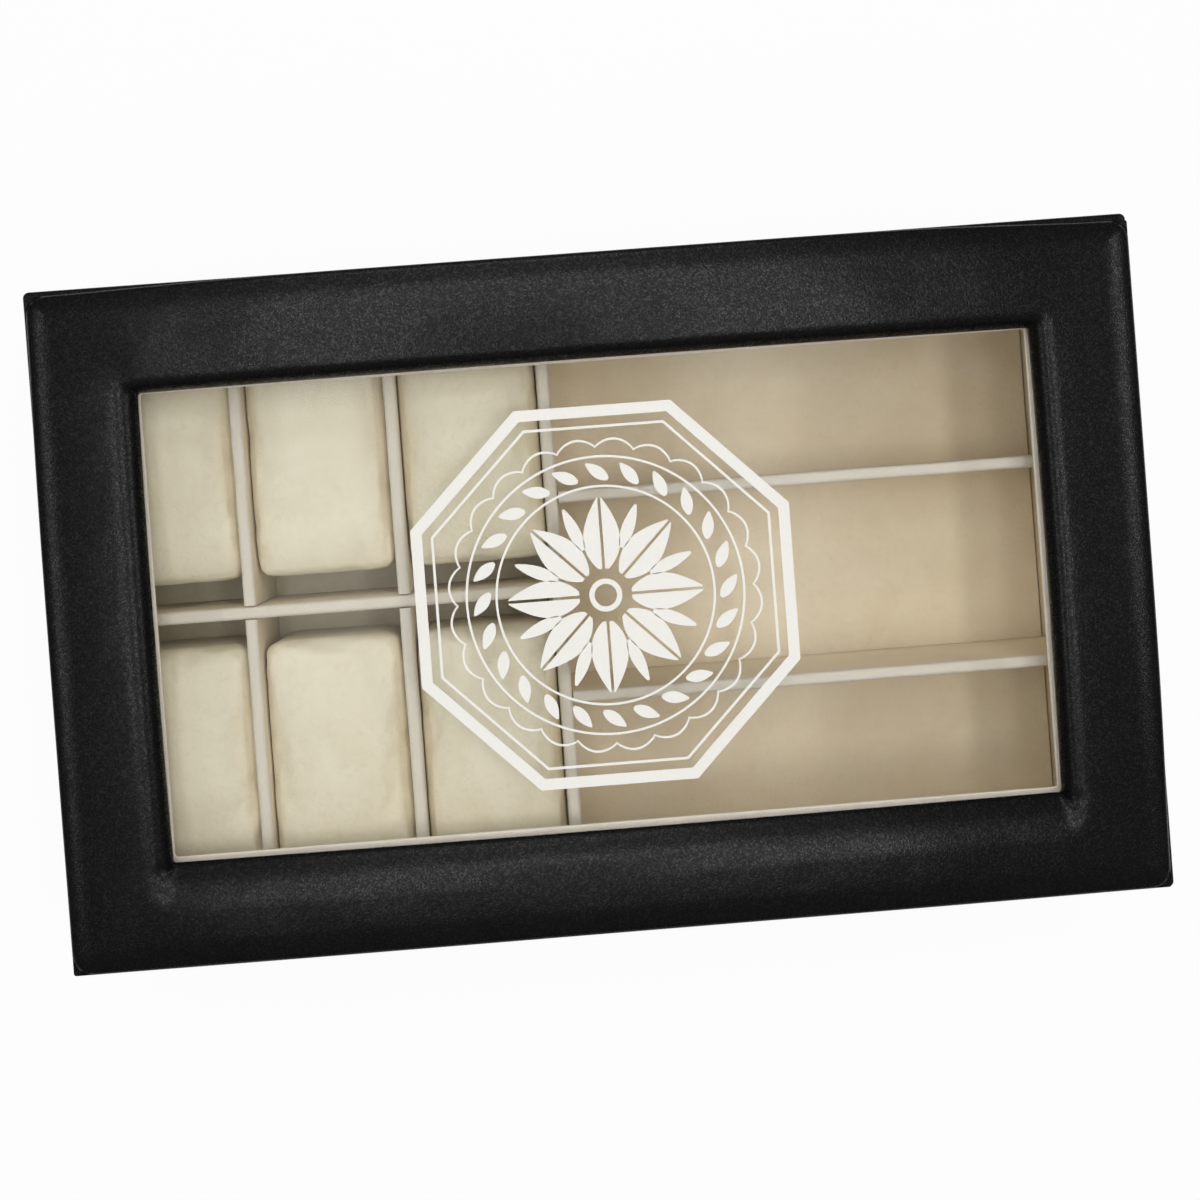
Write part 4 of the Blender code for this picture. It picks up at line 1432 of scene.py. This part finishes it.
@dataclass(frozen=True)
class Petal:
    """A pointed petal, or half of one beside a vein.

    It stands out to each side by the sine of pi times the share of its
    length to one power, all to another.
    """

    start: float
    stop: float
    bulge: float
    length_power: float
    fullness: float
    vein: float = 0.0
    vein_share: float = 0.45
    rows: int = 25

    def patch(self, turn: float, columns: np.ndarray, side: int = 1) -> Points:
        """Lays the petal's points, without those at its two tips.

        Args:
            turn: the direction that it points in.
            columns: places across it, zero at its vein and one at its edge.
            side: one, or minus one to mirror it.

        Returns:
            Points by row, column and axis x or y.
        """
        share = np.linspace(0, 1, self.rows)
        reach = self.start + (self.stop - self.start) * share
        bulge = self.bulge * np.sin(math.pi * share ** self.length_power) ** self.fullness
        vein = np.minimum(self.vein, bulge * self.vein_share)
        across = (vein[:, None] + (bulge - vein)[:, None] * columns) * side
        along_axis = np.array((math.cos(turn), math.sin(turn)))
        side_axis = np.array((-math.sin(turn), math.cos(turn)))
        return (reach[:, None, None] * along_axis + across[..., None] * side_axis)[1:-1]


@dataclass
class EtchedOrnament(Assembly):
    """A generic rosette in an eight-sided border, etched in the pane's upper face.

    Octagons are given by the distances of their two edges from the middle,
    and circles by those and by how far their scallops stand out.
    """

    centre: tuple[float, float] = (1.0 * MM, -1.2 * MM)
    octagons: tuple[tuple[float, float], ...] = ((57.5 * MM, 54.1 * MM), (51.5 * MM, 50.7 * MM))
    circles: tuple[tuple[float, float, float], ...] = (
        (45.2 * MM, 44.5 * MM, 2.6 * MM), (42.4 * MM, 41.7 * MM, 0.0), (33.4 * MM, 32.7 * MM, 0.0),
        (5.0 * MM, 3.4 * MM, 0.0))
    scallops: int = 24
    scallop_power: float = 0.8
    petals: int = 8
    split_petal: Petal = Petal(7.0 * MM, 30.5 * MM, 5.6 * MM, 0.8, 0.9, 0.45 * MM)
    plain_petal: Petal = Petal(14.5 * MM, 29.5 * MM, 1.9 * MM, 0.85, 0.8)
    leaves: int = 24
    leaf: Petal = Petal(-4.5 * MM, 4.5 * MM, 1.8 * MM, 0.85, 0.9)
    leaf_radius: float = 37.5 * MM
    leaf_slant: float = math.radians(52)
    lift: float = 0.01 * MM
    thickness: float = 0.04 * MM

    def octagon(self, apothem: float, steps: int = 12) -> Points:
        """Lists points along an upright octagon's eight straight sides.

        Args:
            apothem: the distance from its middle to a side.
            steps: steps along a side.

        Returns:
            Points by axis x and y.
        """
        turn = math.pi / 8 + np.arange(9) * math.pi / 4
        corners = apothem / math.cos(math.pi / 8) * np.column_stack((np.cos(turn), np.sin(turn)))
        share = np.arange(steps)[:, None] / steps
        runs = [corners[side] + (corners[side + 1] - corners[side]) * share for side in range(8)]
        return np.concatenate(runs)

    def scalloped(self, radius: float, bulge: float, steps: int = 24) -> Points:
        """Lists points of a ring of outward arcs.

        Each stands out from the radius by a bulge times a power of the
        absolute sine along it.

        Args:
            radius: the ring's radius between two arcs.
            bulge: how far an arc stands out.
            steps: steps along an arc.

        Returns:
            Points by axis x and y.
        """
        turn, points = circle(self.scallops * steps)
        arc = np.abs(np.sin(turn * self.scallops / 2)) ** self.scallop_power
        return (radius + bulge * arc)[:, None] * points

    def build(self) -> None:
        """Builds border, garland and rosette as thin closed plates on the pane."""
        bottom = span("glass_pane")[1][2] + self.lift
        top = bottom + self.thickness
        bands = [(self.octagon(outer), self.octagon(inner)) for outer, inner in self.octagons]
        bands += [(self.scalloped(outer, bulge), self.scalloped(inner, bulge))
                  for outer, inner, bulge in self.circles]
        surfaces = []
        for outer, inner in bands:
            lines = ((inner, bottom), (outer, bottom), (outer, top), (inner, top))
            rings = np.stack([at_height(line + self.centre, level) for line, level in lines])
            surfaces.append(loft(rings, closed=True))
        half, whole = np.linspace(0, 1, 5), np.linspace(-1, 1, 7)
        patches = []
        for turn in np.arange(self.petals) * 2 * math.pi / self.petals:
            patches += [self.split_petal.patch(turn, half, side) for side in (-1, 1)]
            patches.append(self.plain_petal.patch(turn + math.pi / self.petals, whole))
        for turn in np.arange(self.leaves) * 2 * math.pi / self.leaves:
            middle = self.leaf_radius * np.array((math.cos(turn), math.sin(turn)))
            patches.append(self.leaf.patch(turn + self.leaf_slant, whole) + middle)
        surfaces += [thin_plate(patch + self.centre, bottom, top) for patch in patches]
        make_piece("etched_ornament", together(surfaces), self.finishes.frost, "lid")


@dataclass
class HingeScrew(Assembly):
    """A countersunk screw with a cross recess in its head."""

    node: str
    body: str
    head_radius: float = 1.5 * MM
    head_shares: tuple[float, ...] = (0.08, 0.22, 0.36, 0.5, 0.64, 0.78, 0.9, 1.0)
    head_height: float = 0.8 * MM
    head_edge: float = 0.06 * MM
    shank_radius: float = 0.7 * MM
    recess: float = 0.45 * MM
    recess_arm: float = 0.18 * MM
    pitch: float = 0.8 * MM
    thread_share: float = 0.18
    thread_rings: int = 42
    taper_share: float = 0.7
    taper_run: float = 0.2
    edge_share: float = 0.99
    steps: int = 32

    def build(self) -> None:
        """Builds the screw by turning its profile, with a cross sunk into the head.

        The recess is deepest on the axis, and at each point its depth falls
        with the distance from the nearer arm of the cross and along the arm.
        The shank carries a thread: its radius is the sine of the height less
        the turn, and tapers over the last fifth to a point.
        """
        low, high = span(self.node)
        up = (low[2] + high[2]) / 2 < hinge_axis().z
        head, point = (high[2], low[2]) if up else (low[2], high[2])
        inward = -1 if up else 1
        turn, round_line = circle(self.steps)
        rings = []
        for share in self.head_shares:
            flat = round_line * self.head_radius * share
            arm = np.minimum(np.abs(flat[:, 0]), np.abs(flat[:, 1]))
            sunk = np.clip(1.3 - arm / self.recess_arm, 0, 1) * np.clip(1.35 - share * 1.5, 0, 1)
            rings.append(np.column_stack((flat, head + inward * self.recess * sunk)))
        neck = head + inward * self.head_height
        edge = round_line * self.head_radius * self.edge_share
        rings.append(at_height(edge, head + inward * self.head_edge))
        rings.append(at_height(round_line * self.shank_radius, neck))
        length = abs(point - neck)
        for share in np.linspace(0, 1, self.thread_rings)[1:]:
            near_tip = (share - (1 - self.taper_run)) / self.taper_run
            taper = 1 - self.taper_share * np.clip(near_tip, 0, 1)
            winding = np.sin(share * length / self.pitch * 2 * math.pi - turn)
            thread = 1 - self.thread_share + self.thread_share * winding
            rings.append(at_height(round_line * (self.shank_radius * taper * thread)[:, None],
                                   neck + inward * length * share))
        stack = np.stack(rings)
        stack[..., :2] += (low[:2] + high[:2]) / 2
        make_piece(f"{self.node}_turned", loft(stack), self.finishes.nickel, self.body,
                   self.node)


@dataclass
class Lid(Assembly):
    """The lid: skin, padded cover, pane, retainer and lining."""

    window: Outline = Outline(134.3 * MM, 70.4 * MM, 0.9 * MM, -0.6 * MM, (0.5 * MM,) * 4)
    turns: tuple[float, float] = (6.9 * MM, 8.0 * MM)

    def build(self) -> None:
        """Builds the lid's pieces and paints the nodes that stay."""
        WrappedSkin(self.finishes, "lid_leather_wrap", "lid", "lid_leather", *self.turns).build()
        PaddedCover(self.finishes, self.window).build()
        PaneRetainer(self.finishes).build()
        EtchedOrnament(self.finishes).build()
        repaint("glass_pane", self.finishes.glass)
        repaint("lid_side_lining", self.finishes.lid)
        for side in SIDES:
            repaint(f"lid_{side}_rail", self.finishes.fibreboard)
        repaint("lid_top_board", self.finishes.fibreboard)


@dataclass
class Base(Assembly):
    """The base: skin, boards, lining, floor and dividers."""

    turns: tuple[float, float] = (10.0 * MM, 8.2 * MM)
    dividers: tuple[str, ...] = (
        "main_divider", "cross_divider", "glasses_divider_front", "glasses_divider_back",
        "watch_divider_front_left", "watch_divider_front_right", "watch_divider_back_left",
        "watch_divider_back_right")

    def build(self) -> None:
        """Builds the base's pieces and paints the nodes that stay."""
        WrappedSkin(self.finishes, "base_leather_wrap", "base", "base_leather", *self.turns).build()
        boards = self.dividers + tuple(f"lining_{side}" for side in SIDES)
        for number, node in enumerate(boards):
            CoveredBoard(self.finishes, node, 20 + 2 * number).build()
        FloorPad(self.finishes, "watch_bay_floor_pad", 61, self.finishes.pillow).build()
        FloorPad(self.finishes, "glasses_bay_floor_pad", 62, self.finishes.velveteen).build()
        for side in SIDES:
            repaint(f"base_{side}_board", self.finishes.fibreboard)
        repaint("base_floor_board", self.finishes.fibreboard)
        repaint("underside_felt", self.finishes.felt)


@dataclass
class Hinges(Assembly):
    """The two butt hinges and their screws."""

    def build(self) -> None:
        """Paints leaves and pins in nickel, and builds the screws."""
        for node in frame["nodes"]:
            if "hinge" not in node:
                continue
            if "screw" in node:
                HingeScrew(self.finishes, node, "lid" if "lid" in node else "base").build()
            else:
                repaint(node, self.finishes.nickel)


@dataclass
class WatchPillows(Assembly):
    """Six pillows in two rows of three."""

    def build(self) -> None:
        """Builds the pillows, each with its own creases."""
        for line, row in enumerate(Row):
            for place, column in enumerate(Column):
                WatchPillow(self.finishes, row, column, 100 + 10 * line + place).build()


# Studio


@dataclass(frozen=True)
class Lamp:
    """A rectangular lamp: its place, its width along x and its depth, and its power in watts.

    It faces the middle of the box, at the target's height. A tube lights the
    box but shows in no reflection, and the other lamps show in the leather
    and in the pane.
    """

    name: str
    x: float
    y: float
    width: float
    depth: float
    power: float
    mirrored: bool = True
    height: float = 1.0
    target: float = 0.05

    def hang(self) -> None:
        """Hangs the lamp so that it faces the box, one edge as near to x as it can lie."""
        data = bpy.data.lights.new(self.name, "AREA")
        data.shape = "RECTANGLE"
        data.size, data.size_y = self.width, self.depth
        data.energy = self.power
        item = bpy.data.objects.new(self.name, data)
        place = Vector((self.x, self.y, self.height))
        back = (place - Vector((0, 0, self.target))).normalized()
        across = (Vector((1, 0, 0)) - back * back.x).normalized()
        turn = Matrix((across, back.cross(across), back)).transposed()
        item.matrix_world = Matrix.Translation(place) @ turn.to_4x4()
        item.visible_glossy = self.mirrored
        bpy.context.scene.collection.objects.link(item)


@dataclass
class Studio:
    """The camera, the lamps, the pale floor and the light around.

    The camera's place, its turns in degrees, and its focal length and shift in
    pixels of the photograph come from a fit to the edges of the lid, the
    window and the dividers.
    """

    camera_place: tuple[float, float, float] = (-29.29 * MM, 34.19 * MM, 530.49 * MM)
    yaw: float = 4.312
    tip: float = 0.155
    lean: float = 1.168
    focal_pixels: float = 1512.2
    picture: float = 1200.0
    sensor: float = 36.0
    shift_pixels: tuple[float, float] = (-72.0, -110.0)
    floor_height: float = -0.4 * MM
    floor_steps: int = 96
    floor_reach: Four = (0.25, 0.6, 1.5, 5.0)
    lamps: tuple[Lamp, ...] = (
        Lamp("bar_back", 0.0, 0.39, 0.52, 0.15, 1.04),
        Lamp("bar_left", -0.18, 0.17, 0.09, 0.22, 0.46),
        Lamp("bar_right", 0.22, 0.17, 0.09, 0.22, 0.52),
        Lamp("bar_left_low", -0.18, -0.06, 0.09, 0.22, 0.46),
        Lamp("bar_right_low", 0.21, -0.06, 0.09, 0.22, 0.52),
        Lamp("bar_front", 0.0, -0.25, 0.56, 0.12, 0.30),
        Lamp("tube_middle", 0.0, -0.03, 0.10, 0.40, 0.90, False),
        Lamp("tube_right", 0.23, -0.02, 0.09, 0.30, 0.45, False),
        Lamp("tube_front", 0.0, -0.36, 0.60, 0.24, 0.50, False),
        Lamp("tube_far_front", 0.0, -0.80, 0.60, 0.12, 0.60, False),
        Lamp("lamp_left", -0.90, 0.10, 0.12, 0.80, 1.5),
        Lamp("tube_left_back", -0.90, 0.40, 0.12, 0.50, 0.7, False),
        Lamp("tube_left_front", -0.50, -0.30, 0.08, 0.50, 0.35, False),
        Lamp("tube_far_left", -0.50, 0.76, 0.50, 0.12, 0.7, False),
        Lamp("lamp_far_back", 0.0, 0.80, 0.56, 0.12, 0.50),
        Lamp("tube_far_back", 0.05, 0.90, 0.60, 0.12, 0.5, False),
        Lamp("lamp_low_back", 0.0, 1.45, 0.60, 0.25, 1.6),
        Lamp("lamp_right", 0.94, 0.15, 0.12, 0.70, 1.7),
        Lamp("tube_right_front", 0.94, -0.30, 0.12, 0.50, 0.6, False),
    )

    def aim_camera(self) -> None:
        """Sets the camera where the photograph was taken from.

        The lens is the sensor times the focal length's share of the picture,
        and the turn is one about x, then y, then z.
        """
        data = bpy.data.cameras.new("photo_camera")
        data.sensor_width = self.sensor
        data.lens = self.sensor * self.focal_pixels / self.picture
        data.shift_x = -self.shift_pixels[0] / self.picture
        data.shift_y = self.shift_pixels[1] / self.picture
        camera = bpy.data.objects.new("photo_camera", data)
        turn = Matrix.Identity(3)
        for degrees, axis in ((self.tip, "X"), (self.lean, "Y"), (self.yaw, "Z")):
            turn = turn @ Matrix.Rotation(math.radians(degrees), 3, axis)
        camera.matrix_world = Matrix.Translation(self.camera_place) @ turn.transposed().to_4x4()
        bpy.context.scene.collection.objects.link(camera)
        bpy.context.scene.camera = camera

    def lay_floor(self) -> None:
        """Lays a wide pale floor that keeps a soft shadow and looks white to the camera."""
        _, rim = circle(self.floor_steps)
        rings = np.stack([at_height(rim * reach, self.floor_height) for reach in self.floor_reach])
        points = np.concatenate((rings.reshape(-1, 3), [[0, 0, self.floor_height]]))
        here = np.arange(self.floor_steps)
        middle = np.full(self.floor_steps, len(points) - 1)
        fan = np.stack((here, np.roll(here, -1), middle), axis=-1)
        quads = grid_faces(len(rings), self.floor_steps, False, True)[:, ::-1]
        floor = make_object("studio_floor", Surface(points, quads, fan))
        floor.data.materials.append(StudioPaper().material())

    def light_room(self) -> None:
        """Gives the room a dark lower part and paler light above, as a studio tent has."""
        world = bpy.data.worlds.new("studio_room")
        bpy.context.scene.world = world
        world.use_nodes = True
        tree = world.node_tree
        tree.nodes.clear()
        way = add_node(tree, "TexCoord").outputs["Generated"]
        height = add_node(tree, "SeparateXYZ", {0: way}).outputs["Z"]
        share = add_node(tree, "MapRange", {"From Min": 0.20, "From Max": 0.45, "To Min": 0.02,
                                            "To Max": 0.16, "Value": height})
        light = add_node(tree, "Background", {"Color": (1, 1, 1, 1), "Strength": share})
        add_node(tree, "OutputWorld", {"Surface": light})

    def build(self) -> None:
        """Sets up the whole studio."""
        self.aim_camera()
        self.lay_floor()
        self.light_room()
        for lamp in self.lamps:
            lamp.hang()
        bpy.context.scene.view_settings.view_transform = "Standard"


def main() -> None:
    """Builds the studio and every sub-assembly in order."""
    logging.basicConfig(level=logging.INFO, format="%(name)s: %(message)s", stream=sys.stdout)
    Studio().build()
    finishes = Finishes.mixed()
    for assembly in (Base, Lid, Hinges, WatchPillows):
        LOG.info("building %s", assembly.__name__)
        assembly(finishes).build()


if __name__ == "__main__":
    main()
